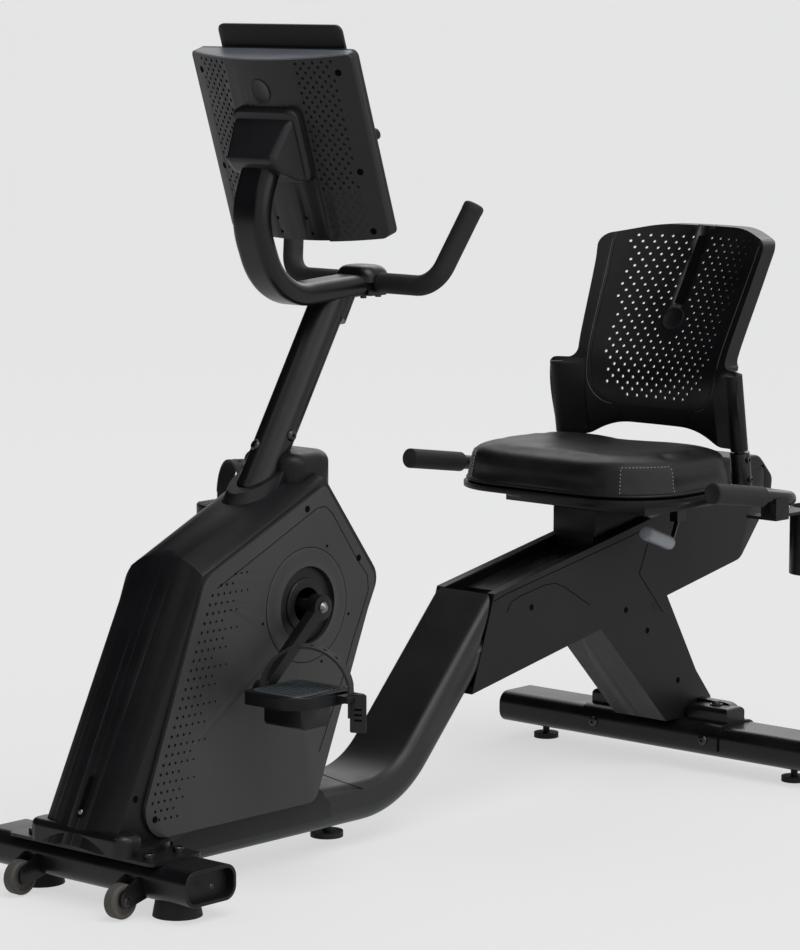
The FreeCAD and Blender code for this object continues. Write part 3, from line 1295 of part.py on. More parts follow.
def front_solid(outline, y0, y1):
    """Plate between y0 and y1 whose front view is an outline of (x, z, corner radius)."""
    wire = rounded_wire([(V(x, y0, z), r) for x, z, r in outline])
    return Part.Face(wire).extrude(V(0, y1 - y0, 0))


def both_sides(points):
    """Closed outline from its right half, (x, z, corner radius) from bottom to top."""
    return [(-x, z, r) for x, z, r in points] + [(x, z, r) for x, z, r in reversed(points)]


def back_cut(outline):
    return front_solid(outline, BACK_LOW_Y - STAB_W * 2, BACK_LOW_Y + STAB_W * 4)


def back_outline(inset=0.0):
    """Front outline: an arched lower edge, wings over the posts, a waist and a rounded top."""
    w = BACK_HALF - inset
    z0 = BACK_LOW_Z + inset
    return both_sides([(w * 0.44, z0 + 27, 150), (w * 0.70, z0, 40), (w, z0, 5), (w, BACK_BEND_Z - inset, 9),
                       (w * 0.78, BACK_BEND_Z - inset, 16), (w * 0.86, BACK_SHOULDER_Z - 40, 200),
                       (w * 0.89, BACK_SHOULDER_Z - inset / 2, 20), (w * 0.44, BACK_TOP_Z - inset, 240)])


def panel_front(grow=0.0):
    """Front outline of the panel: a U that opens towards the top."""
    w = BACK_HALF
    low = BACK_LOW_Z + 56 - grow
    return both_sides([(w * 0.60 + grow, low, 58), (w * 0.665 + grow, BACK_BEND_Z, 300),
                       (w * 0.79 + grow, BACK_TOP_Z + 30, 0)])


def back_rim():
    """Deep flange along the back's sides and top, above its wings."""
    band = back_cut(back_outline()).cut(back_cut(back_outline(BACK_T)))
    band = band.common(box(-BACK_HALF * 0.82, BACK_HALF * 0.82, 0, REAR_END, BACK_BEND_Z - BACK_T, BACK_TOP_Z + 1).fuse(
        box(-BACK_HALF, BACK_HALF, 0, REAR_END, BACK_BEND_Z + 10, BACK_TOP_Z + 1)))
    return back_layer(0.0, BACK_FLANGE).common(band)


def seat_back_frame():
    """Moulded back: thin shell, deep flange up its sides, a window for the panel and post sleeves."""
    whole = back_cut(back_outline())
    shell = back_layer(0.0, BACK_T).common(whole).cut(back_cut(panel_front(SEAT_GAP)))
    flange = back_rim().cut(back_cut(panel_front(SEAT_GAP)))
    behind = PANEL_SUNK + BACK_PANEL_T + SEAT_GAP
    ledge = back_layer(behind, behind + BACK_LEDGE_T).common(
        back_cut(back_outline(BACK_T + SEAT_GAP)).common(back_cut(panel_front(SEAT_GAP * 2))))
    ledge = ledge.cut(back_cut(panel_front(-BACK_LEDGE)))
    frame = shell.fuse([flange, ledge])
    for side in (-1, 1):
        low, high = post_line(side)
        heading = (high - low).normalize()
        top = high + heading * (BACK_BEND_Z - BACK_LOW_Z)
        frame = frame.fuse(rod(high + heading * 4, top, BACK_SLEEVE_R))
    for side in (-1, 1):
        low, high = post_line(side)
        frame = frame.cut(rod(low, high, POST_SLEEVE_R + SEAT_GAP))
        frame = frame.cut(rod(low, post_top(side), BACK_POST_R))
    return frame.removeSplitter()


def seat_back_panel():
    """Thin panel in the window, turned over at the top, with a groove from its top edge down."""
    front = back_cut(panel_front())
    panel = back_layer(PANEL_SUNK, PANEL_SUNK + BACK_PANEL_T).common(front)
    panel = panel.common(back_cut(back_outline()))
    panel = panel.fuse(back_rim().common(front).cut(back_layer(-BACK_T, PANEL_SUNK))).removeSplitter()
    half = BACK_GROOVE_W / 2
    groove = back_layer(0.0, PANEL_SUNK + GROOVE_DEPTH).common(
        back_cut([(-half, BACK_GROOVE_LOW_Z, 4), (half, BACK_GROOVE_LOW_Z, 4), (half, BACK_TOP_Z + 40, 0),
                  (-half, BACK_TOP_Z + 40, 0)]))
    return panel.cut(groove)


PIECES = {}


def save(name, shape):
    moved = shape.copy()
    moved.translate(V(0, -MID_Y, 0))
    solids = moved.Solids
    if len(solids) == 1:
        moved = solids[0]
    moved.exportStep("parts/" + name + ".step")
    PIECES[name] = moved


FRONT_END = WHEEL_Y - WHEEL_R
MID_Y = (FRONT_END + REAR_END) / 2


def pair(shape):
    """A piece and its twin on the other side, as two solids of one node."""
    return Part.makeCompound([shape, mirrored(shape)])


def build():
    os.makedirs("parts", exist_ok=True)
    save("front_stabilizer", stabilizer(0.0, FRONT_STAB_HALF))
    save("rear_stabilizer", stabilizer(REAR_STAB_Y, REAR_STAB_HALF))
    save("front_end_caps", pair(end_cap(0.0, FRONT_STAB_HALF)))
    save("rear_end_caps", pair(end_cap(REAR_STAB_Y, REAR_STAB_HALF)))
    save("front_feet", pair(front_foot()))
    save("rear_feet", pair(levelling_foot(REAR_FOOT_X, REAR_STAB_Y, 0.0, STAB_LOW, REAR_FOOT_R)))
    save("middle_foot", levelling_foot(0.0, MID_FOOT_Y, MID_FOOT_Z, BEAM_Z, MID_FOOT_R))
    save("wheel_forks", pair(wheel_fork()))
    save("front_base_plate", front_base_plate())
    save("rear_base_plate", rear_base_plate())
    save("base_beam", base_beam())
    save("seat_rail", rail_tube_solid())
    save("rail_track", rail_track())
    save("rail_end_cap", rail_end_cap())
    save("rear_leg", rear_leg())
    save("step_cover", step_cover())
    save("front_post", front_post())
    save("flywheel", flywheel())
    save("mast", mast())
    save("top_cap", top_cap())
    save("console_arm", console_arm())
    save("handlebar", handlebar())
    save("handlebar_clamp", handlebar_clamp())
    save("clamp_cover", clamp_cover())
    save("handlebar_grips", pair(handlebar_grip(1)))
    save("console_shell", console_shell())
    save("console_top", console_top())
    save("console_bezel", console_bezel())
    save("console_screen", console_screen())
    save("media_rack", media_rack())
    save("console_bracket", console_bracket())
    save("console_knob", console_knob())
    save("crank_bezels", pair(crank_bezel(1)))
    save("side_panels", pair(side_panel(1)))
    save("crank_spindle", crank_spindle())
    save("seat_carriage", seat_carriage())
    save("seat_frame", seat_frame())
    save("seat_pan", seat_pan())
    save("seat_cushion", seat_cushion())
    save("handle_grips", pair(handle_grip(1)))
    save("bottle_holder", bottle_holder())
    save("adjust_lever", adjust_lever())
    save("seat_back_frame", seat_back_frame())
    save("seat_back_panel", seat_back_panel())
    for name, side in SIDES:
        save("transport_wheel_" + name, sided(transport_wheel(), side))
        save("rail_cover_" + name, rail_cover(side))
        save("leg_cover_" + name, leg_cover(side))
        save("drive_shell_" + name, drive_shell(side))
        save("crank_arm_" + name, crank_arm(side))
        save("pedal_" + name, pedal(side))
        save("pedal_strap_" + name, pedal_strap(side))


build()
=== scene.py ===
import bpy
import bmesh
import json
import math
from mathutils import Matrix, Vector
from mathutils.bvhtree import BVHTree


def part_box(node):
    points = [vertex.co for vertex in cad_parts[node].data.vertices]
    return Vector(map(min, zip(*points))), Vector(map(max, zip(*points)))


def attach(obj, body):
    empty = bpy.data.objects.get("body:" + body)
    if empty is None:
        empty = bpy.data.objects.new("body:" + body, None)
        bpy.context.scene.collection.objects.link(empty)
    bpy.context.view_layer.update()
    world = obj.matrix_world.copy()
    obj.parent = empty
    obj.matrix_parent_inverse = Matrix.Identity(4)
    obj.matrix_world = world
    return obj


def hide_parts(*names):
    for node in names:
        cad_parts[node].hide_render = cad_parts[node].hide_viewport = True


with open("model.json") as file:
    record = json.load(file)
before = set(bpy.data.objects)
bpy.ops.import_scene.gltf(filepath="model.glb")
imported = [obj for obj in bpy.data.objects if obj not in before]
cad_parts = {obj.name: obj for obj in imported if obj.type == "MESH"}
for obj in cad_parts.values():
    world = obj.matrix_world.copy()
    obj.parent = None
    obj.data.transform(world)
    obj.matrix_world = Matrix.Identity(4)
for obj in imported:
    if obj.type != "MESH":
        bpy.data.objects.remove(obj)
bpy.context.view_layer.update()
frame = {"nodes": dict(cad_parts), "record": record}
NODES = frame["nodes"]
MILLIMETRE = Matrix.Scale(0.001, 4)
BACKWARDS = Vector((0, 1, 0))
UPWARDS = Vector((0, 0, 1))


def put(node, values):
    """Sets a node's own sockets."""
    for socket, value in values.items():
        node.inputs[socket].default_value = value


def new_object(name, data):
    thing = bpy.data.objects.new(name, data)
    bpy.context.scene.collection.objects.link(thing)
    return thing


def new_material(name):
    material = bpy.data.materials.new(name)
    material.use_nodes = True
    tree = material.node_tree
    return material, tree, tree.nodes["Principled BSDF"]


# Camera: the photograph's place and angle, in the part's own frame

TURN = math.radians(41.791)
PITCH = math.radians(7.640)
ROLL = math.radians(0.156)
FOCAL_PX = 3706.9
PHOTO_LONG_PX = 950
SENSOR_MM = 36.0
CAMERA_AT = Vector((3.886, -4.433, 1.350))


def make_camera():
    forward = Vector((-math.sin(TURN) * math.cos(PITCH), math.cos(TURN) * math.cos(PITCH),
                      -math.sin(PITCH)))
    level = Vector((math.cos(TURN), math.sin(TURN), 0))
    rise = level.cross(forward)
    right = level * math.cos(ROLL) + rise * math.sin(ROLL)
    up = right.cross(forward)
    data = bpy.data.cameras.new("camera")
    data.sensor_width = SENSOR_MM
    data.lens = FOCAL_PX * SENSOR_MM / PHOTO_LONG_PX
    data.clip_start = 0.05
    data.clip_end = 400.0
    camera = new_object("camera", data)
    turn = Matrix((right, up, -forward)).transposed().to_4x4()
    camera.matrix_world = Matrix.Translation(CAMERA_AT) @ turn
    bpy.context.scene.camera = camera


def aim(lamp, direction):
    lamp.rotation_mode = "QUATERNION"
    lamp.rotation_quaternion = Vector(direction).to_track_quat("-Z", "Y")


def sun(name, direction, strength, angle):
    data = bpy.data.lights.new(name, "SUN")
    data.energy = strength
    data.angle = math.radians(angle)
    aim(new_object(name, data), direction)


def softbox(name, place, target, size_x, size_y, power):
    data = bpy.data.lights.new(name, "AREA")
    data.shape = "RECTANGLE"
    data.size = size_x
    data.size_y = size_y
    data.energy = power
    lamp = new_object(name, data)
    lamp.location = place
    aim(lamp, Vector(target) - Vector(place))


BACKGROUND = (0.787, 0.787, 0.787, 1)


def math_node(tree, operation, a, b):
    node = tree.nodes.new("ShaderNodeMath")
    node.operation = operation
    tree.links.new(a, node.inputs[0])
    tree.links.new(b, node.inputs[1])
    return node.outputs[0]


def seen_mix(tree, plain, shown):
    """Shader that shows one thing to camera, glossy and transmission rays, another to the rest."""
    path = tree.nodes.new("ShaderNodeLightPath").outputs
    seen = math_node(tree, "MAXIMUM", path["Is Camera Ray"], path["Is Glossy Ray"])
    seen = math_node(tree, "MAXIMUM", seen, path["Is Transmission Ray"])
    mix = tree.nodes.new("ShaderNodeMixShader")
    tree.links.new(seen, mix.inputs[0])
    tree.links.new(plain, mix.inputs[1])
    tree.links.new(shown, mix.inputs[2])
    return mix.outputs[0]


def make_world():
    world = bpy.data.worlds.new("studio")
    bpy.context.scene.world = world
    world.use_nodes = True
    tree = world.node_tree
    tree.nodes.clear()
    light = tree.nodes.new("ShaderNodeBackground")
    put(light, {"Color": (0.9, 0.93, 1.0, 1), "Strength": 0.30})
    shown = tree.nodes.new("ShaderNodeBackground")
    put(shown, {"Color": BACKGROUND, "Strength": 1.0})
    out = tree.nodes.new("ShaderNodeOutputWorld")
    tree.links.new(seen_mix(tree, light.outputs[0], shown.outputs[0]), out.inputs["Surface"])


FLAG_STEPS = 16


def make_flag():
    """Black cloth round the left of the studio, seen only in what the object mirrors."""
    row = FLAG_STEPS + 1
    points = []
    for radius, height in ((9.0, 0.01), (9.0, 8.0), (4.5, 13.0)):
        for step in range(row):
            a = math.radians(150 + 112 * step / FLAG_STEPS)
            points.append((radius * math.cos(a), radius * math.sin(a), height))
    starts = [i + k for i in (0, row) for k in range(FLAG_STEPS)]
    faces = [(i, i + 1, i + row + 1, i + row) for i in starts]
    mesh = bpy.data.meshes.new("flag")
    mesh.from_pydata(points, [], faces)
    flag = new_object("flag", mesh)
    material, _, shader = new_material("flag")
    put(shader, {"Base Color": (0.01, 0.01, 0.012, 1), "Roughness": 1.0, "Specular IOR Level": 0.0})
    mesh.materials.append(material)
    flag.visible_camera = False
    flag.visible_diffuse = False
    flag.visible_shadow = False
    flag.visible_transmission = False


def make_floor():
    mesh = bpy.data.meshes.new("floor")
    size = 150.0
    corners = [(-size, -size, 0), (size, -size, 0), (size, size, 0), (-size, size, 0)]
    mesh.from_pydata(corners, [], [(0, 1, 2, 3)])
    floor = new_object("floor", mesh)
    material, tree, _ = new_material("floor")
    tree.nodes.clear()
    diffuse = tree.nodes.new("ShaderNodeBsdfDiffuse")
    diffuse.inputs["Color"].default_value = (0.62, 0.62, 0.62, 1)
    glow = tree.nodes.new("ShaderNodeEmission")
    put(glow, {"Color": BACKGROUND, "Strength": 1.16})
    share = tree.nodes.new("ShaderNodeMixShader")
    share.inputs[0].default_value = 0.65
    tree.links.new(diffuse.outputs[0], share.inputs[1])
    tree.links.new(glow.outputs[0], share.inputs[2])
    out = tree.nodes.new("ShaderNodeOutputMaterial")
    tree.links.new(seen_mix(tree, diffuse.outputs[0], share.outputs[0]), out.inputs["Surface"])
    mesh.materials.append(material)


bpy.context.scene.view_settings.view_transform = "Standard"
make_camera()
make_world()
make_floor()
make_flag()
sun("key", (-0.46, 0.14, -0.87), 1.6, 40)
sun("fill", (-0.95, -0.05, -0.30), 0.5, 50)
sun("rim", (0.35, -0.75, -0.56), 0.5, 40)
softbox("strip_left", (-1.9, -4.6, 4.9), (0, -0.3, 0.9), 0.5, 3.0, 18)
softbox("strip_right", (4.6, 0.9, 3.4), (0, 0.1, 0.8), 0.8, 3.0, 25)
softbox("overhead", (-3.4, 2.6, 4.8), (0, 0, 0.7), 2.4, 2.4, 20)


# Materials

def new_surface(name):
    """Material, its tree and shader, and its object coordinates."""
    material, tree, shader = new_material(name)
    return material, tree, shader, tree.nodes.new("ShaderNodeTexCoord").outputs["Object"]


def texture(tree, kind, vector, values):
    node = tree.nodes.new("ShaderNodeTex" + kind)
    put(node, values)
    tree.links.new(vector, node.inputs["Vector"])
    return node


def noise(tree, coords, scale, detail):
    values = {"Scale": scale, "Detail": detail, "Roughness": 0.6}
    return texture(tree, "Noise", coords, values).outputs["Fac"]


def spread(tree, value, low, high, from_low=0.3, from_high=0.7):
    node = tree.nodes.new("ShaderNodeMapRange")
    put(node, {"From Min": from_low, "From Max": from_high, "To Min": low, "To Max": high})
    tree.links.new(value, node.inputs["Value"])
    return node.outputs["Result"]


def colour_mix(tree, fac, a, b):
    node = tree.nodes.new("ShaderNodeMix")
    node.data_type = "RGBA"
    tree.links.new(fac, node.inputs["Factor"])
    put(node, {"A": (*a, 1), "B": (*b, 1)})
    return node.outputs["Result"]


def mottle(tree, shader, slow, one, other):
    mixed = colour_mix(tree, spread(tree, slow, 0, 1), one, other)
    tree.links.new(mixed, shader.inputs["Base Color"])


def vary_roughness(tree, shader, value, low, high):
    tree.links.new(spread(tree, value, low, high), shader.inputs["Roughness"])


def lighter(colour, share, more):
    return tuple(c * (1 + share) + more for c in colour)


def add_bump(tree, shader, height, strength, distance):
    bump = tree.nodes.new("ShaderNodeBump")
    put(bump, {"Strength": strength, "Distance": distance})
    tree.links.new(height, bump.inputs["Height"])
    tree.links.new(bump.outputs["Normal"], shader.inputs["Normal"])


def moulded(name, colour, rough, grain, depth, level, worn=0.35):
    """Moulded or powder-coated surface: fine grain, and slow mottling of its colour and shine."""
    material, tree, shader, coords = new_surface(name)
    slow = noise(tree, coords, 9.0, 4.0)
    fine = noise(tree, coords, grain, 2.0)
    mottle(tree, shader, slow, colour, lighter(colour, worn, 0.001))
    vary_roughness(tree, shader, slow, rough - 0.05, rough + 0.06)
    shader.inputs["Specular IOR Level"].default_value = level
    add_bump(tree, shader, fine, 0.5, depth)
    return material


def metal(name, colour, rough):
    material, tree, shader, coords = new_surface(name)
    fine = noise(tree, coords, 600.0, 3.0)
    slow = noise(tree, coords, 30.0, 4.0)
    mottle(tree, shader, slow, tuple(c * 0.7 for c in colour), colour)
    vary_roughness(tree, shader, fine, rough - 0.06, rough + 0.08)
    shader.inputs["Metallic"].default_value = 1.0
    add_bump(tree, shader, fine, 0.3, 0.00003)
    return material


def foam(name, colour):
    """Closed-cell foam rubber sleeve."""
    material, tree, shader, coords = new_surface(name)
    cells = texture(tree, "Voronoi", coords, {"Scale": 900.0})
    slow = noise(tree, coords, 14.0, 3.0)
    mottle(tree, shader, slow, colour, lighter(colour, 0.5, 0.002))
    put(shader, {"Roughness": 0.72, "Specular IOR Level": 0.35})
    add_bump(tree, shader, cells.outputs["Distance"], 0.6, 0.0002)
    return material


def vinyl(name, colour):
    """Leather-grained upholstery vinyl."""
    material, tree, shader, coords = new_surface(name)
    warp = texture(tree, "Noise", coords, {"Scale": 160.0})
    shift = tree.nodes.new("ShaderNodeVectorMath")
    shift.operation = "MULTIPLY_ADD"
    shift.inputs[1].default_value = (0.004, 0.004, 0.004)
    tree.links.new(warp.outputs["Color"], shift.inputs[0])
    tree.links.new(coords, shift.inputs[2])
    cells = texture(tree, "Voronoi", shift.outputs[0], {"Scale": 520.0})
    cells.feature = "DISTANCE_TO_EDGE"
    slow = noise(tree, coords, 12.0, 4.0)
    mottle(tree, shader, slow, colour, lighter(colour, 0.5, 0.002))
    vary_roughness(tree, shader, slow, 0.37, 0.50)
    shader.inputs["Specular IOR Level"].default_value = 0.26
    add_bump(tree, shader, spread(tree, cells.outputs["Distance"], 0, 1, 0.0, 0.25), 0.35, 0.00015)
    return material


def mesh_fabric(name, colour):
    """Open knitted mesh with a fine square weave."""
    material, tree, shader, coords = new_surface(name)
    heights = []
    for axis in ("X", "Z"):
        wave = texture(tree, "Wave", coords, {"Scale": 190.0, "Distortion": 0.6})
        wave.bands_direction = axis
        heights.append(wave.outputs["Fac"])
    weave = math_node(tree, "MULTIPLY", *heights)
    threads = colour_mix(tree, weave, colour, tuple(c * 3.5 for c in colour))
    tree.links.new(threads, shader.inputs["Base Color"])
    put(shader, {"Roughness": 0.8, "Sheen Weight": 0.15})
    add_bump(tree, shader, weave, 0.7, 0.0005)
    return material


# Colour, roughness, grain's scale, its depth in metres, specular level and share of lighter wear
MOULDED = {
    "satin_black": ((0.0036, 0.0038, 0.0044), 0.30, 1600, 0.00004, 0.28),
    "frame_grey": ((0.012, 0.0135, 0.016), 0.38, 1400, 0.00005, 0.4),
    "shell_black": ((0.0034, 0.0036, 0.0042), 0.42, 1100, 0.00008, 0.20),
    "panel_grey": ((0.023, 0.023, 0.0222), 0.46, 1100, 0.00008, 0.32),
    "step_grey": ((0.0098, 0.0098, 0.0100), 0.40, 1300, 0.00005, 0.3),
    "cover_grey": ((0.0058, 0.0058, 0.0060), 0.40, 1200, 0.00006, 0.18),
    "console_grey": ((0.0066, 0.0065, 0.0078), 0.40, 1200, 0.00006, 0.30),
    "console_top": ((0.09, 0.10, 0.11), 0.42, 1200, 0.00005, 0.4, 0.15),
    "rubber": ((0.010, 0.010, 0.010), 0.68, 700, 0.00012, 0.3),
    "tread": ((0.055, 0.050, 0.043), 0.62, 600, 0.00014, 0.35),
    "lever_grey": ((0.17, 0.185, 0.205), 0.40, 900, 0.00006, 0.45, 0.15),
    "back_black": ((0.0036, 0.0037, 0.0043), 0.36, 1100, 0.00007, 0.24),
    "key_grey": ((0.05, 0.053, 0.058), 0.5, 900, 0.00006, 0.35, 0.15),
    "thread": ((0.42, 0.42, 0.41), 0.7, 2000, 0.00008, 0.25, 0.1),
    # Near-black without shine: dark seams and grooves, and painted shade in screw recesses, slots and
    # the seat back's groove
    "near_black_and_painted_hollow_shade": ((0.0012, 0.0012, 0.0013), 0.8, 800, 0.00005, 0.04, 0.1),
    "pedal_grey": ((0.05, 0.058, 0.062), 0.40, 900, 0.00006, 0.35, 0.15),
    # Lighter than the frame: a painted highlight along the seat back's window edge
    "lip_painted_highlight": ((0.035, 0.036, 0.042), 0.30, 1100, 0.00005, 0.45, 0.3),
    "screen": ((0.004, 0.0045, 0.005), 0.12, 300, 0.00001, 0.5, 0.1),
}

MATERIALS = {name: moulded(name, *values) for name, values in MOULDED.items()}
MATERIALS["steel_black"] = metal("steel_black", (0.06, 0.06, 0.062), 0.34)
MATERIALS["steel"] = metal("steel", (0.22, 0.22, 0.23), 0.32)
MATERIALS["dark_steel"] = metal("dark_steel", (0.045, 0.046, 0.05), 0.36)
MATERIALS["mesh_fabric"] = mesh_fabric("mesh_fabric", (0.0036, 0.0037, 0.0044))
MATERIALS["grip_foam"] = foam("grip_foam", (0.0050, 0.0050, 0.0053))
MATERIALS["seat_vinyl"] = vinyl("seat_vinyl", (0.0036, 0.0037, 0.0042))

FINISH = {
    "satin_black": ["front_stabilizer", "rear_stabilizer", "front_base_plate", "rear_base_plate",
                    "mast", "console_arm", "handlebar", "wheel_forks", "seat_frame", "front_post",
                    "rear_leg", "seat_rail", "handlebar_clamp", "clamp_cover", "adjust_lever",
                    "rail_track"],
    "frame_grey": ["base_beam"],
    "step_grey": ["step_cover"],
    "shell_black": ["drive_shell_left", "drive_shell_right", "top_cap", "console_knob", "seat_pan",
                    "seat_back_frame", "pedal_left", "pedal_right", "bottle_holder",
                    "front_end_caps", "rear_end_caps", "crank_bezels", "crank_arm_left",
                    "crank_arm_right", "seat_carriage"],
    "panel_grey": ["side_panels"],
    "cover_grey": ["rail_cover_left", "rail_cover_right", "leg_cover_left", "leg_cover_right",
                   "rail_end_cap"],
    "console_grey": ["console_shell", "console_bracket", "media_rack", "console_bezel"],
    "console_top": ["console_top"],
    "back_black": ["seat_back_panel"],
    "screen": ["console_screen"],
    "rubber": ["front_feet", "rear_feet", "middle_foot", "pedal_strap_left", "pedal_strap_right"],
    "tread": ["transport_wheel_left", "transport_wheel_right"],
    "steel": ["crank_spindle"],
    "dark_steel": ["flywheel"],
    "grip_foam": ["handlebar_grips", "handle_grips"],
    "seat_vinyl": ["seat_cushion"],
}


def finish_nodes():
    for material, names in FINISH.items():
        for name in names:
            node = NODES[name]
            node.data.materials.clear()
            node.data.materials.append(MATERIALS[material])


finish_nodes()


# Places, in millimetres: left of the middle, behind the front stabilizer's axis, above the floor

FRONT_LOW, FRONT_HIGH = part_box("front_stabilizer")
STATION_0 = (FRONT_LOW[1] + FRONT_HIGH[1]) / 2


def at(x, y, z):
    return Vector((x / 1000, STATION_0 + y / 1000, z / 1000))


def stand(place, heading):
    """Millimetre frame at a place in metres, its Z along a heading."""
    turn = Vector(heading).to_track_quat("Z", "Y").to_matrix().to_4x4()
    return Matrix.Translation(place) @ turn @ MILLIMETRE


def upright(heading):
    """Rotation whose Z is a heading and whose Y is as near to upward as can be."""
    z = heading.normalized()
    x = UPWARDS.cross(z).normalized()
    return Matrix((x, z.cross(x), z)).transposed().to_4x4()


def stand_upright(place, heading):
    """As stand, but with its Y as near to upward as can be."""
    return Matrix.Translation(place) @ upright(heading) @ MILLIMETRE


# Pieces in mesh code

def add_piece(name, bm, material, body, smooth=40):
    """Object from a bmesh in the frame's own metres, riding a body."""
    mesh = bpy.data.meshes.new(name)
    bmesh.ops.recalc_face_normals(bm, faces=bm.faces)
    bm.to_mesh(mesh)
    bm.free()
    for face in mesh.polygons:
        face.use_smooth = True
    mesh.set_sharp_from_angle(angle=math.radians(smooth))
    mesh.materials.append(MATERIALS[material])
    piece = new_object(name, mesh)
    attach(piece, body)
    return piece


def angles(count):
    return [k * 2 * math.pi / count for k in range(count)]


def ring_on(bm, matrix, outline, height):
    return [bm.verts.new(matrix @ Vector((x, y, height))) for x, y in outline]


def section(bm, point, across, up, radius, sides):
    """Circle of points round a point, in the plane of two headings."""
    return [bm.verts.new(point + (across * math.cos(a) + up * math.sin(a)) * radius)
            for a in angles(sides)]


def bridge(bm, rings):
    """Faces between each closed ring of points and the next."""
    for low, high in zip(rings, rings[1:]):
        for i in range(len(low)):
            j = (i + 1) % len(low)
            bm.faces.new((low[i], low[j], high[j], high[i]))


def skin(bm, rows):
    """Faces between each open row of points and the next."""
    for low, high in zip(rows, rows[1:]):
        for k in range(len(low) - 1):
            bm.faces.new((low[k], low[k + 1], high[k + 1], high[k]))


def turned(bm, matrix, profile, sides=24, closed=True):
    """Turned form from (radius, height) pairs; a third value marks a six-sided ring."""
    rings = []
    for point in profile:
        ring = []
        for a in angles(sides):
            r = point[0]
            if len(point) == 3:
                r *= math.cos(math.pi / 6) / math.cos(a % (math.pi / 3) - math.pi / 6)
            ring.append(bm.verts.new(matrix @ Vector((r * math.cos(a), r * math.sin(a), point[1]))))
        rings.append(ring)
    bridge(bm, rings)
    if closed:
        bm.faces.new(rings[-1])


def tube(bm, points, radius, sides=12):
    """Round tube through points, closed at both ends."""
    rings = []
    across = Vector((1, 0, 0))
    for i, point in enumerate(points):
        ahead = points[min(i + 1, len(points) - 1)] - points[max(i - 1, 0)]
        ahead.normalize()
        across = across - ahead * across.dot(ahead)
        if across.length < 1e-4:
            across = ahead.orthogonal()
        across.normalize()
        up = ahead.cross(across)
        rings.append(section(bm, point, across, up, radius, sides))
    bridge(bm, rings)
    bm.faces.new(list(reversed(rings[0])))
    bm.faces.new(rings[-1])


def slab(bm, matrix, outline, depth, edge):
    """Plate from a counter-clockwise outline in a frame's XY, rising by depth, its top edge broken."""
    low = ring_on(bm, matrix, outline, 0)
    mid = ring_on(bm, matrix, outline, depth - edge)
    n = len(outline)
    cx = sum(p[0] for p in outline) / n
    cy = sum(p[1] for p in outline) / n
    top = []
    for x, y in outline:
        span = max(math.hypot(x - cx, y - cy), 1e-6)
        k = max(0.0, 1 - edge / span)
        top.append(bm.verts.new(matrix @ Vector((cx + (x - cx) * k, cy + (y - cy) * k, depth))))
    bridge(bm, (low, mid, top))
    bm.faces.new(top)
    bm.faces.new(list(reversed(low)))


def rounded_rect(half_x, half_y, r, steps=5):
    points = []
    for sx, sy, start in ((1, 1, 0), (-1, 1, 90), (-1, -1, 180), (1, -1, 270)):
        for k in range(steps + 1):
            a = math.radians(start + 90 * k / steps)
            points.append((sx * (half_x - r) + r * math.cos(a), sy * (half_y - r) + r * math.sin(a)))
    return points


SOCKET = [(8, 0), (8, 6), (7.2, 7), (4.6, 7), (4.0, 6.6, 6), (4.0, 3, 6)]
SMALL_SOCKET = [(5, 0), (5, 4.2), (4.4, 5), (2.9, 5), (2.6, 4.7, 6), (2.6, 2, 6)]
BUTTON = [(9, 0), (9, 1), (7.6, 3.4), (5.2, 4.6), (3.4, 4.9), (3.0, 4.6, 6), (3.0, 2.2, 6)]
SCREW = [(4.4, 0), (4.2, 0.8), (3.2, 1.8), (1.7, 2.2), (1.5, 2.0, 6), (1.5, 0.9, 6)]
HEX_HEAD = [(11, 0), (11, 1.6), (9.4, 1.8), (8.6, 1.8, 6), (8.6, 6.6, 6), (7.4, 7.4), (0.5, 7.4)]
# SUNK: a flat sunk screw head, always drawn near-black as painted shade of the screw's recess
SUNK = [(5.4, 0), (5.0, 0.35), (4.2, 0.35), (3.6, 0.12), (1.8, 0.1), (1.6, 0.1, 6)]
STUD = [(2.3, 0), (2.1, 0.7), (1.2, 1.2), (0.3, 1.3)]


def fasteners(name, body, material, items):
    """One piece from many fasteners, each a (form, place, heading)."""
    bm = bmesh.new()
    for form, place, heading in items:
        turned(bm, stand(at(*place), heading), form)
    return add_piece(name, bm, material, body, 35)


def both(items):
    """The items and their mirror images."""
    return items + [(form, (-x, y, z), (-hx, hy, hz)) for form, (x, y, z), (hx, hy, hz) in items]


def node_mesh(node):
    """The node's own mesh in the frame's metres, with its split corners joined."""
    source = NODES[node]
    bm = bmesh.new()
    bm.from_mesh(source.data)
    bm.transform(source.matrix_world)
    bmesh.ops.remove_doubles(bm, verts=bm.verts, dist=1e-6)
    return bm


def surface_of(node):
    bm = node_mesh(node)
    tree = BVHTree.FromBMesh(bm)
    bm.free()
    return tree


def drilled(name, node, body, material, holes, sides=10):
    """The node's form with round holes: (place, heading, radius, depth), in millimetres."""
    piece = add_piece(name, node_mesh(node), material, body)
    bm = bmesh.new()
    for place, heading, radius, depth in holes:
        turned_plug(bm, stand(at(*place), heading), radius, depth, sides)
    mesh = bpy.data.meshes.new(name + "_holes")
    bm.to_mesh(mesh)
    bm.free()
    cutter = new_object(name + "_holes", mesh)
    cut = piece.modifiers.new("holes", "BOOLEAN")
    cut.operation = "DIFFERENCE"
    cut.solver = "EXACT"
    cut.object = cutter
    apply_modifiers(piece)
    bpy.data.objects.remove(cutter)
    piece.data.set_sharp_from_angle(angle=math.radians(35))
    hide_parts(node)
    return piece


def turned_plug(bm, matrix, radius, depth, sides):
    circle = [(radius * math.cos(a), radius * math.sin(a)) for a in angles(sides)]
    rings = [ring_on(bm, matrix, circle, height) for height in (-depth, depth)]
    bridge(bm, rings)
    bm.faces.new(rings[1])
    bm.faces.new(list(reversed(rings[0])))


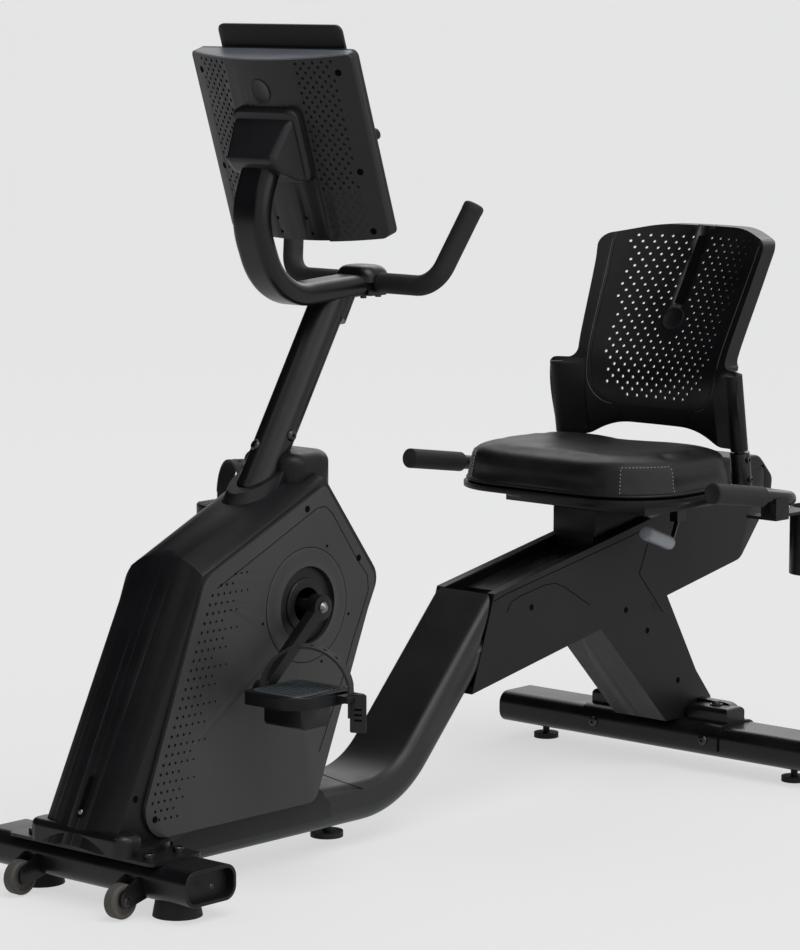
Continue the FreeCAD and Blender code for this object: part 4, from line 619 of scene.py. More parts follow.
def apply_modifiers(piece):
    bpy.context.view_layer.update()
    graph = bpy.context.evaluated_depsgraph_get()
    mesh = bpy.data.meshes.new_from_object(piece.evaluated_get(graph), depsgraph=graph)
    old = piece.data
    piece.modifiers.clear()
    piece.data = mesh
    bpy.data.meshes.remove(old)


# Seat back: holes through its panel, all but the groove and a round bare place under it

HOLE_LOW_Z = 640
HOLE_TOP_Z = 923
HOLE_PITCH_X = 20.0
HOLE_PITCH_Z = 10.3
HOLE_R = 2.8
HOLE_DEPTH = 9.0
GROOVE_HALF = 15
BARE_Z = 770.0
BARE_R = 27.0
AHEAD_OF_BACK = 1100


def back_hit(tree, x, z):
    """Where a line running backwards meets the seat back, and which way the surface faces there."""
    return tree.ray_cast(at(x, AHEAD_OF_BACK, z), BACKWARDS)[:2]


def back_holes(tree):
    holes = []
    for row in range(int(HOLE_LOW_Z / HOLE_PITCH_Z), int(HOLE_TOP_Z / HOLE_PITCH_Z)):
        z = row * HOLE_PITCH_Z
        half = 104 + (z - HOLE_LOW_Z) * 0.11 if z > 660 else 78 + (z - HOLE_LOW_Z) * 1.3
        for column in range(-7, 8):
            x = (column + (0.5 if row % 2 else 0.0)) * HOLE_PITCH_X
            bare = math.hypot(x, z - BARE_Z) < BARE_R + HOLE_R
            groove = abs(x) < GROOVE_HALF and z > BARE_Z
            if abs(x) > half or bare or groove:
                continue
            hit, normal = back_hit(tree, x, z)
            if hit is not None:
                holes.append(((x, (hit.y - STATION_0) * 1000, z), normal, HOLE_R, HOLE_DEPTH))
    return holes


def make_groove_strip(tree):
    """Matt black strip lying in the groove above the boss: painted shade for the groove's hollow."""
    bm = bmesh.new()
    rows = []
    for step in range(24):
        hit = back_hit(tree, 0, 796 + step * 4.9)[0]
        if hit is None:
            continue
        front = hit.y - 0.0009
        profile = ((-0.0098, front + 0.002), (-0.0094, front), (0.0094, front), (0.0098, front + 0.002))
        rows.append([bm.verts.new((x, y, hit.z)) for x, y in profile])
    skin(bm, rows)
    # The strip's near-black is painted shade of the groove
    add_piece("groove_strip", bm, "near_black_and_painted_hollow_shade", "seat")


def taut(points):
    """Lower hull of points (x, y) sorted by x: a skin drawn tight over their front."""
    hull = []
    for point in points:
        while len(hull) > 1:
            (ax, ay), (bx, by) = hull[-2], hull[-1]
            if (bx - ax) * (point[1] - ay) - (by - ay) * (point[0] - ax) > 0:
                break
            hull.pop()
        hull.append(point)
    return hull


def along(hull, x):
    for (ax, ay), (bx, by) in zip(hull, hull[1:]):
        if ax <= x <= bx:
            return ay + (by - ay) * (x - ax) / (bx - ax)
    return hull[-1][1]


def wing_points(tree, side, z):
    """Points (x, y) across the wing's front at a height, from the inside out."""
    points = []
    for k in range(40):
        x = 138 + k * 1.66
        hit = back_hit(tree, side * x, z)[0]
        if hit is not None:
            points.append((x, hit.y * 1000))
    return points


def wing_row(bm, points, side, z):
    """A row of the skin drawn tight over the points, turned back at its outer end."""
    hull = taut(points)
    last = points[-1][0]
    row = [bm.verts.new((side * x / 1000, (along(hull, x) - 0.8) / 1000, z / 1000))
           for x in (140 + (last - 140) * k / 24 for k in range(25))]
    row.append(bm.verts.new((side * (last + 0.5) / 1000, (points[-1][1] + 6) / 1000, z / 1000)))
    return row


def make_wing_skins():
    """Wings drawn smooth over the post sleeves."""
    tree = surface_of("seat_back_frame")
    for side, name in ((1, "wing_skin_left"), (-1, "wing_skin_right")):
        bm = bmesh.new()
        rows = []
        for step in range(28):
            z = 566 + step * 4.87
            points = wing_points(tree, side, z)
            if len(points) >= 12:
                rows.append(wing_row(bm, points, side, z))
        skin(bm, rows)
        top = rows[-1]
        back = [bm.verts.new((v.co.x, max(v.co.y, top[-1].co.y), v.co.z - 0.0006)) for v in top]
        skin(bm, (top, back))
        add_piece(name, bm, "shell_black", "seat")


def make_window_lip():
    """Rounded lip of the frame along its window, coloured lighter than the frame as a painted highlight
    on its edge.
    """
    tree = surface_of("seat_back_frame")
    outline = [(158 - k, 900 - 11.25 * k) for k in range(21)]
    for k in range(1, 10):
        a = math.radians(90 * k / 9)
        outline.append((138 - 48 * (1 - math.cos(a)), 675 - 54 * math.sin(a)))
    bm = bmesh.new()
    for side in (-1, 1):
        line = []
        for x, z in outline:
            hit = back_hit(tree, side * x, z)[0]
            if hit is not None and (not line or abs(hit.y - line[-1].y) < 0.02):
                line.append(hit + Vector((0, 0.0001, 0)))
        if len(line) > 8:
            tube(bm, line, 0.0008, 8)
    add_piece("window_lip", bm, "lip_painted_highlight", "seat", 60)


def make_seat_back():
    tree = surface_of("seat_back_panel")
    drilled("back_panel", "seat_back_panel", "seat", "back_black", back_holes(tree))
    bm = bmesh.new()
    boss = [(22, -0.6), (22, 0.5), (21, 1.1), (19.4, 1.1), (18.8, 0.6), (1, 0.6)]
    turned(bm, stand(*back_hit(tree, 0, BARE_Z)), boss, 48)
    add_piece("back_boss", bm, "shell_black", "seat")
    make_groove_strip(tree)
    make_wing_skins()
    make_window_lip()


# Console: holes in two bands on its back, its screws, and the rider's side

CONSOLE_TILT = math.radians(18.2)
CONSOLE_MIDDLE = at(0, 404.3, 1105)
CONSOLE_HOLE_PITCH_X = 14.6
CONSOLE_HOLE_PITCH_Z = 7.6
CONSOLE_SCREW_X = 142
CONSOLE_SCREWS_Z = (118, -38, -133)


def console_turn():
    return Matrix.Rotation(CONSOLE_TILT, 3, "X")


def console_at(x, y, z):
    """A place given in the upright console's own millimetres, its screen face on y = 0."""
    return CONSOLE_MIDDLE + console_turn() @ (Vector((x, y, z)) / 1000)


def console_heading(x, y, z):
    return console_turn() @ Vector((x, y, z))


def station(point):
    """A point in metres as a place in millimetres."""
    return (point.x * 1000, (point.y - STATION_0) * 1000, point.z * 1000)


def console_back_hit(tree, x, z):
    return tree.ray_cast(console_at(x, -200, z), console_heading(0, 1, 0))[:2]


def console_holes(tree):
    """Two bands of shallow holes that leave room for the screws, and four deeper ones low down."""
    holes = []
    for row in range(-18, 19):
        z = row * CONSOLE_HOLE_PITCH_Z
        for column in range(5):
            x = 76 + (column + (0.5 if row % 2 else 0.0)) * CONSOLE_HOLE_PITCH_X
            screws = [math.hypot(x - CONSOLE_SCREW_X, z - height) for height in CONSOLE_SCREWS_Z]
            if x > 140 or min(screws) < 13:
                continue
            for side in (-1, 1):
                hit, normal = console_back_hit(tree, side * x, z)
                if hit is not None:
                    holes.append((station(hit), normal, 2.6, 2.4 if z > -62 else 0.7))
    for x, z in ((-33, -112), (28, -110), (-30, -134), (33, -135)):
        hit, normal = console_back_hit(tree, x, z)
        holes.append((station(hit), normal, 3.0, 3.0))
    return holes


def make_console_back():
    tree = surface_of("console_shell")
    shell = drilled("console_back", "console_shell", "base", "console_grey", console_holes(tree), 8)
    soften(shell, 0.0016)
    # The screws are near-black sunk discs: painted shade of their recesses
    screws = []
    for x in (CONSOLE_SCREW_X, -CONSOLE_SCREW_X):
        for z in CONSOLE_SCREWS_Z:
            hit, normal = console_back_hit(tree, x, z)
            screws.append((SUNK, station(hit), normal))
    fasteners("console_screws", "base", "near_black_and_painted_hollow_shade", screws)
    make_hood()
    bm = bmesh.new()
    boss = [(20, -0.5), (20, 0.5), (19, 1.0), (17.6, 1.0), (17.0, 0.6), (1, 0.6)]
    turned(bm, stand(*console_back_hit(tree, -3, 94)), boss, 48)
    add_piece("console_boss", bm, "console_grey", "base")


HOOD_OUTLINE = [(-40, 58), (-58, 54), (-68, 47), (-108, 7), (-94, -18), (-60, -44), (-40, -46)]


def make_hood():
    """Hood over the arm's end, on its raised frame; the hood stands for the plain bracket."""
    bm = bmesh.new()
    matrix = stand_upright(console_at(0, -24, 10), console_heading(0, -1, 0))
    slab(bm, matrix, rounded_rect(67, 59, 17, 8), 32, 5)
    plate = add_piece("hood_frame", bm, "console_grey", "base")
    soften(plate, 0.002, 3)
    bm = bmesh.new()
    sides = []
    for side in (-1, 1):
        corners = [(side * (61 + 13 * (y + 50) / 60), y, z) for y, z in HOOD_OUTLINE]
        sides.append([bm.verts.new(console_at(*corner)) for corner in corners])
    bridge(bm, sides)
    bm.faces.new(sides[0])
    bm.faces.new(list(reversed(sides[1])))
    hood = add_piece("hood", bm, "console_grey", "base")
    soften(hood, 0.009, 5, 20)
    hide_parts("console_bracket")


def make_clamp_dome():
    """Domed cover over the handlebar's clamp, and the thicker end of the mast below it."""
    bm = bmesh.new()
    place = Matrix.Translation(at(0, 556, 882)) @ MILLIMETRE
    rings = []
    for step in range(10):
        a = step / 9 * math.pi / 2
        shrink = max(math.cos(a), 0.0) ** 0.5
        half_x = 6 + 34 * shrink
        half_y = 5 + 27 * shrink
        outline = rounded_rect(half_x, half_y, min(half_x, half_y) * 0.72, 8)
        rings.append(ring_on(bm, place, outline, 26 * math.sin(a)))
    bridge(bm, rings)
    bm.faces.new(rings[-1])
    dome = add_piece("clamp_dome", bm, "satin_black", "base", 60)
    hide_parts("clamp_cover")
    bm = bmesh.new()
    tube(bm, [at(0, 478, 832), at(0, 500, 870)], 0.0288, 40)
    add_piece("mast_neck", bm, "satin_black", "base")


def make_console_front():
    """Keys, slots and display frame on the side that faces the rider."""
    bm = bmesh.new()
    out = console_heading(0, 1, 0)
    for column in range(-3, 4):
        for row in range(2):
            place = console_at(column * 27, 6, -62 - row * 24)
            slab(bm, stand(place, out), rounded_rect(9.5, 6.5, 2.5), 1.6, 0.7)
    for x, half in ((-48, 13), (0, 17), (48, 13)):
        slab(bm, stand(console_at(x, 6, -118), out), rounded_rect(half, 8.5, 3), 1.8, 0.8)
    add_piece("console_keys", bm, "key_grey", "base")
    bm = bmesh.new()
    for side in (-1, 1):
        for row in range(12):
            place = console_at(side * 138, 6, -46 + row * 8)
            slab(bm, stand(place, out), rounded_rect(12, 1.4, 1.2, 3), 0.5, 0.2)
    add_piece("console_slots", bm, "rubber", "base")
    bm = bmesh.new()
    outer = rounded_rect(114, 74, 5)
    inner = rounded_rect(108, 68, 3)
    matrix = stand(console_at(0, 6, 40), out)
    heights = ((outer, 0), (outer, 0.9), (inner, 0.9), (inner, -0.4))
    bridge(bm, [ring_on(bm, matrix, outline, height) for outline, height in heights])
    add_piece("display_frame", bm, "shell_black", "base")


# Housing: side panels with their field of holes, dishes and screws, and the slot in front

PANEL_X = 82.0
PANEL_HOLES_LOW_Z = 126.0
PANEL_HOLES_TOP_Z = 520
PANEL_PITCH_Z = 13.3
PANEL_PITCH_Y = 12.4
CRANK_Y = 342
CRANK_Z = 406


def panel_holes():
    """Rows that follow the panel's leaning front edge, each hole smaller than the one before it."""
    holes = []
    row = 0
    z = PANEL_HOLES_LOW_Z
    while z < PANEL_HOLES_TOP_Z:
        start = 12 + (z - 150) / 2.317 if z > 150 else 12 + (150 - z) * 0.6
        count = (7, 4, 6, 5)[row % 4]
        if z < 140:
            count = 4
        for k in range(count):
            y = start + k * PANEL_PITCH_Y
            if z > 471 + 0.444 * (y - 125) - 26:
                continue
            radius = 2.7 - 1.1 * k / 7
            for side in (-1, 1):
                holes.append(((side * PANEL_X, y, z), (side, 0, 0), radius, 3.0))
        row += 1
        z += PANEL_PITCH_Z
    return holes


def make_side_panels():
    panels = drilled("panels", "side_panels", "base", "panel_grey", panel_holes())
    soften(panels, 0.0022)
    # Sunk screws in near-black stand as painted shade of their recesses; the studs share that
    # near-black
    screws = []
    for y, z in ((344, 553), (459, 465), (18, 128)):
        screws.append((SUNK, (PANEL_X, y, z), (1, 0, 0)))
    for angle in (62, 190, 290, 345):
        a = math.radians(angle)
        place = (PANEL_X, CRANK_Y + 97 * math.cos(a), CRANK_Z + 97 * math.sin(a))
        screws.append((STUD, place, (1, 0, 0)))
    screws.append((SUNK, (76, -15.5, 163), (1, 0, 0)))
    fasteners("housing_screws", "base", "near_black_and_painted_hollow_shade", both(screws))
    make_dishes()


def make_dishes():
    """Dished ring round each crank bearing, a fine groove outside it and a raised ring at its hub."""
    dish = [(87.6, 0.05), (87.2, 0.5), (85, 0.9), (81, 1.0), (74, 0.2), (66, 0.5), (61, 2.4),
            (59.5, 2.6), (59.2, 1.0)]
    groove = [(88.7, 0.02), (88.5, 0.3), (87.9, 0.3), (87.7, 0.02)]
    hub = [(42, 0.2), (41, 2.4), (39, 3.0), (37, 2.6), (36.4, 0.6)]
    hub_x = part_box("crank_bezels")[1][0] * 1000 - 2.8
    for name, profile, finish, x in (("dish", dish, "panel_grey", PANEL_X),
                                     ("dish_line", groove, "near_black_and_painted_hollow_shade", PANEL_X),
                                     ("hub_ring", hub, "shell_black", hub_x)):
        bm = bmesh.new()
        for side in (-1, 1):
            turned(bm, stand(at(side * x, CRANK_Y, CRANK_Z), (side, 0, 0)), profile, 96, False)
        add_piece(name, bm, finish, "base", 60)


def make_housing_front():
    """Slot with a screw, low on the front seam."""
    tree = surface_of("drive_shell_left")
    bm = bmesh.new()
    heading = Vector((0, -0.9, 0.44))
    hit = tree.ray_cast(at(1, -300, 160), BACKWARDS)[0]
    matrix = stand_upright(hit, heading)
    outer = rounded_rect(7, 33, 6.5)
    inner = rounded_rect(5.4, 31.4, 5)
    heights = ((outer, -1.0), (outer, 1.6), (inner, 1.6), (inner, 0.9))
    bridge(bm, [ring_on(bm, matrix, outline, height) for outline, height in heights])
    add_piece("front_slot", bm, "shell_black", "base")
    # The slot's floor is near-black: painted shade in its hollow
    bm = bmesh.new()
    bm.faces.new(ring_on(bm, matrix, inner, 1.0))
    add_piece("front_slot_floor", bm, "near_black_and_painted_hollow_shade", "base")
    fasteners("front_slot_screw", "base", "steel", [(SCREW, (0, -53.5, 139), heading)])


# Soft edges on what moulding or bending would round

def soften(piece, width, segments=2, angle=38):
    bevel = piece.modifiers.new("edges", "BEVEL")
    bevel.limit_method = "ANGLE"
    bevel.angle_limit = math.radians(angle)
    bevel.width = width
    bevel.segments = segments
    bevel.use_clamp_overlap = True
    bevel.miter_outer = "MITER_ARC"
    bevel.harden_normals = True


# Nodes whose edges are softened, with the width in metres
SOFT_EDGES = {
    "drive_shell_left": 0.0012, "drive_shell_right": 0.0012, "rail_cover_left": 0.0025,
    "rail_cover_right": 0.0025, "leg_cover_left": 0.003, "leg_cover_right": 0.003,
    "seat_back_frame": 0.0022, "crank_arm_left": 0.0015, "crank_arm_right": 0.0015,
    "crank_bezels": 0.001, "pedal_left": 0.0012, "pedal_right": 0.0012, "media_rack": 0.001,
    "top_cap": 0.0012, "step_cover": 0.001, "rail_end_cap": 0.010, "bottle_holder": 0.0008,
    "base_beam": 0.0015, "front_stabilizer": 0.0008, "rear_stabilizer": 0.0008,
    "console_bezel": 0.0015, "console_top": 0.0006, "seat_pan": 0.0012, "handlebar_clamp": 0.001,
    "wheel_forks": 0.0006, "console_knob": 0.0012, "seat_carriage": 0.0015, "seat_frame": 0.001,
    "rear_leg": 0.002, "rail_track": 0.0006,
}


def soften_nodes():
    """Copies of the nodes' forms with softened edges stand for them."""
    riding = {}
    for body, names in frame["record"]["behaviour"]["bodies"].items():
        for node in names:
            riding[node] = body
    for node, width in SOFT_EDGES.items():
        finish = next(material for material, names in FINISH.items() if node in names)
        piece = add_piece(node + "_form", node_mesh(node), finish, riding[node])
        soften(piece, width)
        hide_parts(node)


# Seams: fine dark lines that follow the joints between mouldings

def seams(name, body, lines, radius=0.0007):
    bm = bmesh.new()
    for line in lines:
        tube(bm, [at(*place) for place in line], radius, 6)
        tube(bm, [at(-x, y, z) for x, y, z in line], radius, 6)
    add_piece(name, bm, "near_black_and_painted_hollow_shade", body)


def make_seams():
    seams("rail_seams", "base", [
        [(62, 1206.6, 401.2), (62, 1184.2, 351.8), (62, 1249.3, 279.1)],
        [(62, 806, 352), (62, 831.9, 359.5), (62, 972.5, 385), (62, 1077.4, 404), (62, 1160.2, 419),
         (62, 1200, 428)],
        [(62, 838, 330), (62, 848, 345), (62, 870, 352), (62, 934, 363), (62, 960, 363), (62, 984, 354),
         (62, 1052, 315)]])
    seams("step_seams", "base", [
        [(64, 378, 140), (64, 430, 118), (64, 488, 95)]])
    seams("panel_seams", "base", [
        [(82, 370, 175), (82, 421.8, 279.3), (82, 444.9, 336), (82, 476, 400), (82, 481, 412),
         (82, 479, 436), (82, 456.5, 461.9), (82, 400, 540), (82, 384, 553), (82, 366, 552),
         (82, 150, 455)]], 0.0006)


# Foam ends, the lever's sleeve, and the pedals' treads and straps

BAR_END = [(16.4, -10), (16.4, -3), (16, -0.6), (14.9, 1.2), (13, 2.6), (10, 3.6), (6, 4.1), (0.5, 4.2)]
HANDLE_END = [(16.9, -3), (16.9, -0.3), (15.9, 1.1), (14.1, 1.9), (13.3, 1.4), (0.5, 1.5)]
HANDLE_X = 0.326


def make_bar_ends():
    bm = bmesh.new()
    for side in (-1, 1):
        heading = Vector((side * 37, 46, 119)).normalized()
        turned(bm, stand(at(side * 187, 602, 1000) + heading * 0.0052, heading), BAR_END, 40)
    add_piece("bar_ends", bm, "grip_foam", "base", 60)


def make_handle_ends():
    """Plugs in the middle of each handle's flat front end, which rays find."""
    bm = bmesh.new()
    tree = surface_of("handle_grips")
    low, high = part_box("handle_grips")
    for side in (-1, 1):
        found = []
        for step in range(40):
            z = low[2] + (high[2] - low[2]) * step / 39
            start = Vector((side * HANDLE_X, low[1] - 0.2, z))
            hit, normal = tree.ray_cast(start, BACKWARDS)[:2]
            if hit is not None and normal.y < -0.95:
                found.append((hit, normal))
        if found:
            middle = (found[0][0] + found[-1][0]) / 2
            turned(bm, stand(middle, found[-1][1]), HANDLE_END, 40)
    add_piece("handle_ends", bm, "grip_foam", "seat", 60)


def make_lever_sleeve():
    bm = bmesh.new()
    start = at(124, 1190, 409)
    end = at(156, 1080, 443)
    along_it = (end - start).normalized()
    place = start + along_it * 0.012
    length = (end - place).length * 1000
    profile = [(9.5, 0), (11.6, 1), (12.1, 4), (12.1, length - 6), (11.7, length - 1),
               (10.4, length + 1.2), (8.5, length + 1.8), (0.5, length + 1.8)]
    turned(bm, stand(place, along_it), profile, 32)
    add_piece("lever_sleeve", bm, "lever_grey", "seat", 50)


def make_tread(name, side, y, z):
    bm = bmesh.new()
    top = at(side * 181, y, z + 9.6)
    slab(bm, Matrix.Translation(top) @ MILLIMETRE, rounded_rect(48, 54, 14, 6), 1.5, 0.8)
    for row in range(-5, 6):
        place = top + Vector((0, row * 0.0092, 0.0012))
        slab(bm, Matrix.Translation(place) @ MILLIMETRE, rounded_rect(43, 1.6, 1.2, 3), 1.5, 0.5)
    add_piece("tread_" + name, bm, "pedal_grey", "pedal_" + name)


STRAP_HALF = 0.0125


def make_strap(name, side, y, z):
    """Broad band over the CAD strap with a row of square slots, near-black as their painted shade, and
    its tail down the pedal's side.
    """
    tree = surface_of("pedal_strap_" + name)
    first = at(side * 131, y - 26, z + 10)
    last = at(side * 255, y + 40, z + 10)
    centre = (first + last) / 2
    plan = (last - first).normalized()
    across = plan.cross(UPWARDS) * STRAP_HALF
    bm = bmesh.new()
    slots = bmesh.new()
    band = []
    for step in range(29):
        a = math.radians(6 + step * 6)
        heading = plan * math.cos(a) + UPWARDS * math.sin(a)
        hit = tree.ray_cast(centre + heading * 0.2, -heading)[0]
        if hit is None:
            continue
        outer = hit + heading * 0.0010
        inner = hit - heading * 0.0012
        corners = (outer - across, outer + across, inner + across, inner - across)
        band.append([bm.verts.new(corner) for corner in corners])
        if step % 3 == 1 and 4 < step < 25:
            place = stand(outer - heading * 0.0001, heading)
            slab(slots, place, rounded_rect(3.0, 3.0, 1.4, 3), 0.25, 0.1)
    bridge(bm, band)
    outward = Vector((side * 0.47, -0.883, 0)).normalized()
    hang = last + plan * 0.008 + outward * 0.001 - Vector((0, 0, 0.032))
    tail = Matrix.Translation(hang) @ upright(outward)
    slab(bm, tail @ MILLIMETRE, rounded_rect(12.5, 29, 3, 4), 2.6, 0.6)
    add_piece("strap_band_" + name, bm, "rubber", "pedal_" + name)
    for height in (-10, -2, 6):
        place = tail @ Matrix.Translation((0, height / 1000, 0.0026)) @ MILLIMETRE
        slab(slots, place, rounded_rect(6, 1.6, 1, 3), 0.2, 0.1)
    # The slots are near-black slabs: painted shade of the openings
    add_piece("strap_slots_" + name, slots, "near_black_and_painted_hollow_shade", "pedal_" + name)


def make_pedal_trim():
    for place in (("left", 1, 218.4, 296.7), ("right", -1, 465.6, 515.3)):
        make_tread(*place)
        make_strap(*place)


# Fasteners

def make_fasteners():
    fasteners("mast_bolts", "base", "steel_black", [
        (BUTTON, (-4.3, 321, 645.3), (-0.15, -0.85, 0.51)),
        (BUTTON, (28.9, 365, 658.7), (1, 0, 0)),
        (BUTTON, (-28.9, 365, 658.7), (-1, 0, 0))])
    fasteners("clamp_bolts", "base", "steel_black", [
        (SMALL_SOCKET, (x, y, 862), (0, 0, -1)) for y in (538, 572) for x in (19, -19)])
    fasteners("plate_bolts", "base", "steel_black", both([
        (SOCKET, (122, -34, 86.2), (0, 0, 1)),
        (SOCKET, (122, 26, 86.2), (0, 0, 1)),
        (BUTTON, (120, 1291.2, 57), (0, -1, 0)),
        (HEX_HEAD, (106, 1347, 109.5), (0, 0, 1)),
        (BUTTON, (118, -77, 28), (1, 0, 0))]))
    # These sunk screws are near-black: painted shade of their recesses
    places = ((62, 1149, 294.4), (62, 1440, 452), (56, 1303, 151.9), (56, 1216, 250), (62, 900, 330))
    screws = [(SUNK, place, (1, 0, 0)) for place in places]
    fasteners("cover_screws", "base", "near_black_and_painted_hollow_shade", both(screws))
    fasteners("post_bolts", "seat", "steel_black", both([
        (SMALL_SOCKET, (206, 1290.8, 549), (1, 0, 0)),
        (SMALL_SOCKET, (206, 1298, 515), (1, 0, 0))]))
    cap = [(8.5, 0), (8.5, 1.2), (7.4, 2.4), (6.2, 4.4), (4, 6), (1.8, 6.8), (0.4, 7)]
    fasteners("crank_bolts", "cranks", "steel", both([(cap, (117, CRANK_Y, CRANK_Z), (1, 0, 0))]))
    caps = []
    for node in ("front_end_caps", "rear_end_caps"):
        low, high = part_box(node)
        y = ((low[1] + high[1]) / 2 - STATION_0) * 1000
        caps.append((SCREW, (high[0] * 1000, y, 54), (1, 0, 0)))
    fasteners("cap_screws", "base", "steel_black", both(caps))


# Seat cushion: a padded cover that swells a little from its form, then its seams

PAD_LOW, PAD_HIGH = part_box("seat_cushion")
PAD_MIDDLE = (Vector(PAD_LOW) + Vector(PAD_HIGH)) / 2
CUSHION_INSET = 0.003
CUSHION_VOXEL = 0.0055
CUSHION_CAP = 0.006
CLOTH_FRAMES = 20


def cushion_form():
    """The cushion's CAD form drawn in, as a closed mesh."""
    bm = node_mesh("seat_cushion")
    size = Vector(PAD_HIGH) - Vector(PAD_LOW)
    wide = (size.x - 2 * CUSHION_INSET) / size.x
    deep = (size.y - 2 * CUSHION_INSET) / size.y
    tall = (size.z - 1.2 * CUSHION_INSET) / size.z
    scale = Vector((wide, deep, tall))
    for v in bm.verts:
        v.co = Vector((PAD_MIDDLE.x + (v.co.x - PAD_MIDDLE.x) * scale.x,
                       PAD_MIDDLE.y + (v.co.y - PAD_MIDDLE.y) * scale.y,
                       PAD_LOW[2] + (v.co.z - PAD_LOW[2]) * scale.z))
    return bm


def make_cushion():
    piece = add_piece("cushion", cushion_form(), "seat_vinyl", "seat")
    remesh = piece.modifiers.new("voxels", "REMESH")
    remesh.mode = "VOXEL"
    remesh.voxel_size = CUSHION_VOXEL
    remesh.use_smooth_shade = True
    apply_modifiers(piece)
    swell(piece)
    crown(piece)
    smooth = piece.modifiers.new("round", "SUBSURF")
    smooth.levels = 1
    smooth.render_levels = 1
    apply_modifiers(piece)
    for face in piece.data.polygons:
        face.use_smooth = True
    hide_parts("seat_cushion")
    return piece


def run_cloth(piece):
    """Cloth under a little pressure, held on its flat underside, run and applied."""
    held = piece.vertex_groups.new(name="held")
    held.add([v.index for v in piece.data.vertices if v.co.z < PAD_LOW[2] + 0.012], 1.0, "REPLACE")
    cloth = piece.modifiers.new("cover", "CLOTH")
    settings = cloth.settings
    settings.quality = 6
    settings.mass = 0.4
    settings.tension_stiffness = 25
    settings.compression_stiffness = 25
    settings.shear_stiffness = 10
    settings.bending_stiffness = 6
    settings.shrink_min = 0.02
    settings.use_pressure = True
    settings.uniform_pressure_force = 4.0
    settings.vertex_group_mass = "held"
    settings.effector_weights.gravity = 0
    cloth.point_cache.frame_start = 1
    cloth.point_cache.frame_end = CLOTH_FRAMES
    scene = bpy.context.scene
    for number in range(1, CLOTH_FRAMES + 1):
        scene.frame_set(number)
    apply_modifiers(piece)
    scene.frame_set(1)
    piece.vertex_groups.clear()


def swell(piece):
    """Lets the cover swell, no point further than the cap, and evens it out."""
    start = [v.co.copy() for v in piece.data.vertices]
    run_cloth(piece)
    for v, first in zip(piece.data.vertices, start):
        moved = v.co - first
        if moved.length > CUSHION_CAP:
            moved = moved.normalized() * CUSHION_CAP
        v.co = first + moved
    even = piece.modifiers.new("even", "SMOOTH")
    even.factor = 0.5
    even.iterations = 7
    apply_modifiers(piece)


def crown(piece):
    """Dips the top's middle a little for the sitter, draws in the seam and keeps the underside up."""
    half_x = (PAD_HIGH[0] - PAD_LOW[0]) / 2
    half_y = (PAD_HIGH[1] - PAD_LOW[1]) / 2
    for v in piece.data.vertices:
        up = (v.co.z - PAD_LOW[2]) / (PAD_HIGH[2] - PAD_LOW[2])
        if up > 0.6:
            r = math.hypot((v.co.x - PAD_MIDDLE.x) / half_x, (v.co.y - PAD_MIDDLE.y) / half_y)
            v.co.z -= 0.004 * max(0.0, 1 - r * r) * (up - 0.6) / 0.4
        side = math.exp(-((up - 0.62) / 0.035) ** 2)
        pull = 1 - 0.008 * side
        v.co.x = PAD_MIDDLE.x + (v.co.x - PAD_MIDDLE.x) * pull
        v.co.y = PAD_MIDDLE.y + (v.co.y - PAD_MIDDLE.y) * pull
        v.co.z = max(v.co.z, PAD_LOW[2] + 0.0005)


def ring_round(tree, height, out, steps=160):
    """Points round the cushion's side at a height, found from its own form."""
    points = []
    for a in angles(steps):
        heading = Vector((math.cos(a), math.sin(a), 0))
        hit = tree.ray_cast(Vector((PAD_MIDDLE.x, PAD_MIDDLE.y, height)) + heading, -heading)[0]
        if hit is not None:
            points.append(hit + heading * out)
    return points


def closed_tube(bm, points, radius, sides=8):
    n = len(points)
    rings = []
    for i, point in enumerate(points):
        ahead = (points[(i + 1) % n] - points[i - 1]).normalized()
        across = ahead.cross(UPWARDS).normalized()
        up = across.cross(ahead)
        rings.append(section(bm, point, across, up, radius, sides))
    bridge(bm, rings + rings[:1])


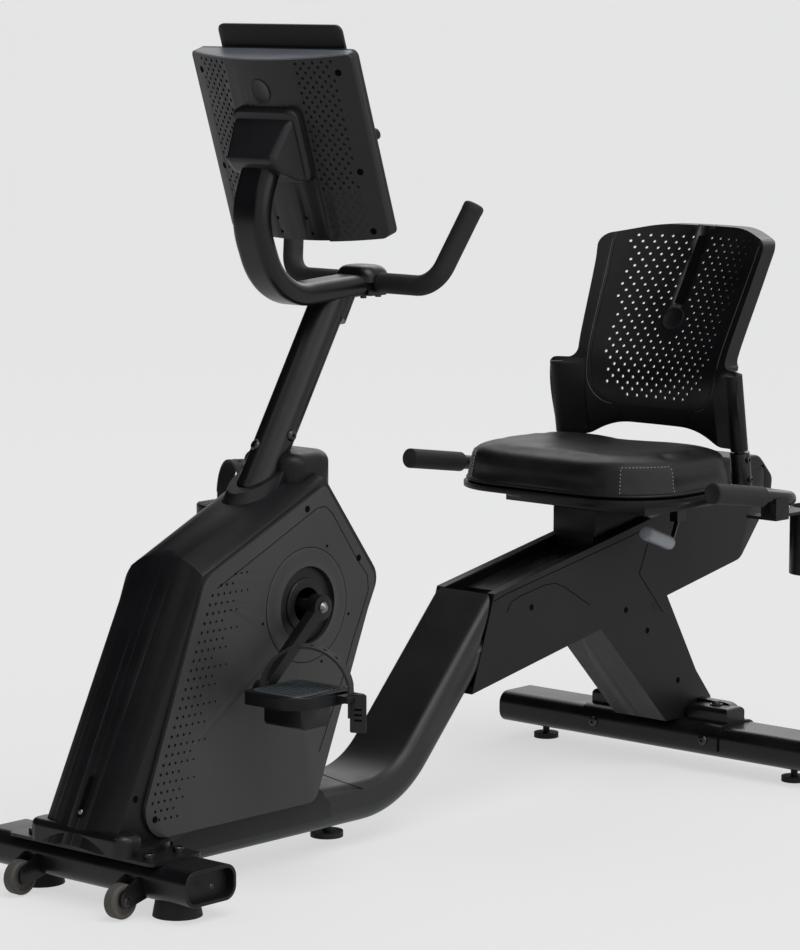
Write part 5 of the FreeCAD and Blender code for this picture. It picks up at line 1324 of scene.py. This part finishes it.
def make_cushion_trim(cushion):
    """Welt along the cushion's foot, and a mesh patch on each front corner."""
    tree = BVHTree.FromObject(cushion, bpy.context.evaluated_depsgraph_get())
    bm = bmesh.new()
    closed_tube(bm, ring_round(tree, PAD_LOW[2] + 0.006, 0.0005), 0.0026)
    add_piece("cushion_welt", bm, "seat_vinyl", "seat")
    make_patch(tree, 1, "left")
    make_patch(tree, -1, "right")


PAD_CORNER = Vector((PAD_HIGH[0] - 0.105, PAD_LOW[1] + 0.105, 0))
PATCH_COLUMNS = 28
PATCH_ROWS = 14


def patch_grid(bm, tree, side):
    """Rows of points on the cushion round one front corner, from its foot upwards."""
    grid = []
    for row in range(PATCH_ROWS + 1):
        height = PAD_LOW[2] + 0.010 + 0.042 * row / PATCH_ROWS
        centre = Vector((PAD_CORNER.x * side + PAD_MIDDLE.x, PAD_CORNER.y, height))
        points = []
        for column in range(PATCH_COLUMNS + 1):
            a = math.radians(-62 + 58 * column / PATCH_COLUMNS)
            heading = Vector((math.cos(a) * side, math.sin(a), 0))
            hit, normal = tree.ray_cast(centre + heading * 0.4, -heading)[:2]
            points.append(bm.verts.new(hit + normal * 0.0006))
        grid.append(points)
    return grid


def stitch(bm, line, side):
    """A thread arched over every second gap between the line's points."""
    for a, b in list(zip(line, line[1:]))[::2]:
        outward = (a - Vector((PAD_CORNER.x * side, PAD_CORNER.y, a.z))).normalized()
        tube(bm, [a.lerp(b, 0.1), a.lerp(b, 0.5) + outward * 0.0007, a.lerp(b, 0.9)], 0.0004, 6)


def make_patch(tree, side, name):
    """Mesh patch on one front corner, with stitches along its edges."""
    bm = bmesh.new()
    grid = patch_grid(bm, tree, side)
    skin(bm, grid)
    border = [v.co.copy() for v in grid[-1]] + [row[0].co.copy() for row in reversed(grid)]
    other = [row[-1].co.copy() for row in grid]
    add_piece("patch_" + name, bm, "mesh_fabric", "seat")
    bm = bmesh.new()
    for line in (border, other):
        stitch(bm, line, side)
    add_piece("stitches_" + name, bm, "thread", "seat")


# The scene's pieces, in the order they are made

soften_nodes()
make_seat_back()
make_console_back()
make_console_front()
make_clamp_dome()
make_side_panels()
make_housing_front()
make_fasteners()
make_seams()
make_bar_ends()
make_handle_ends()
make_lever_sleeve()
make_pedal_trim()
make_cushion_trim(make_cushion())
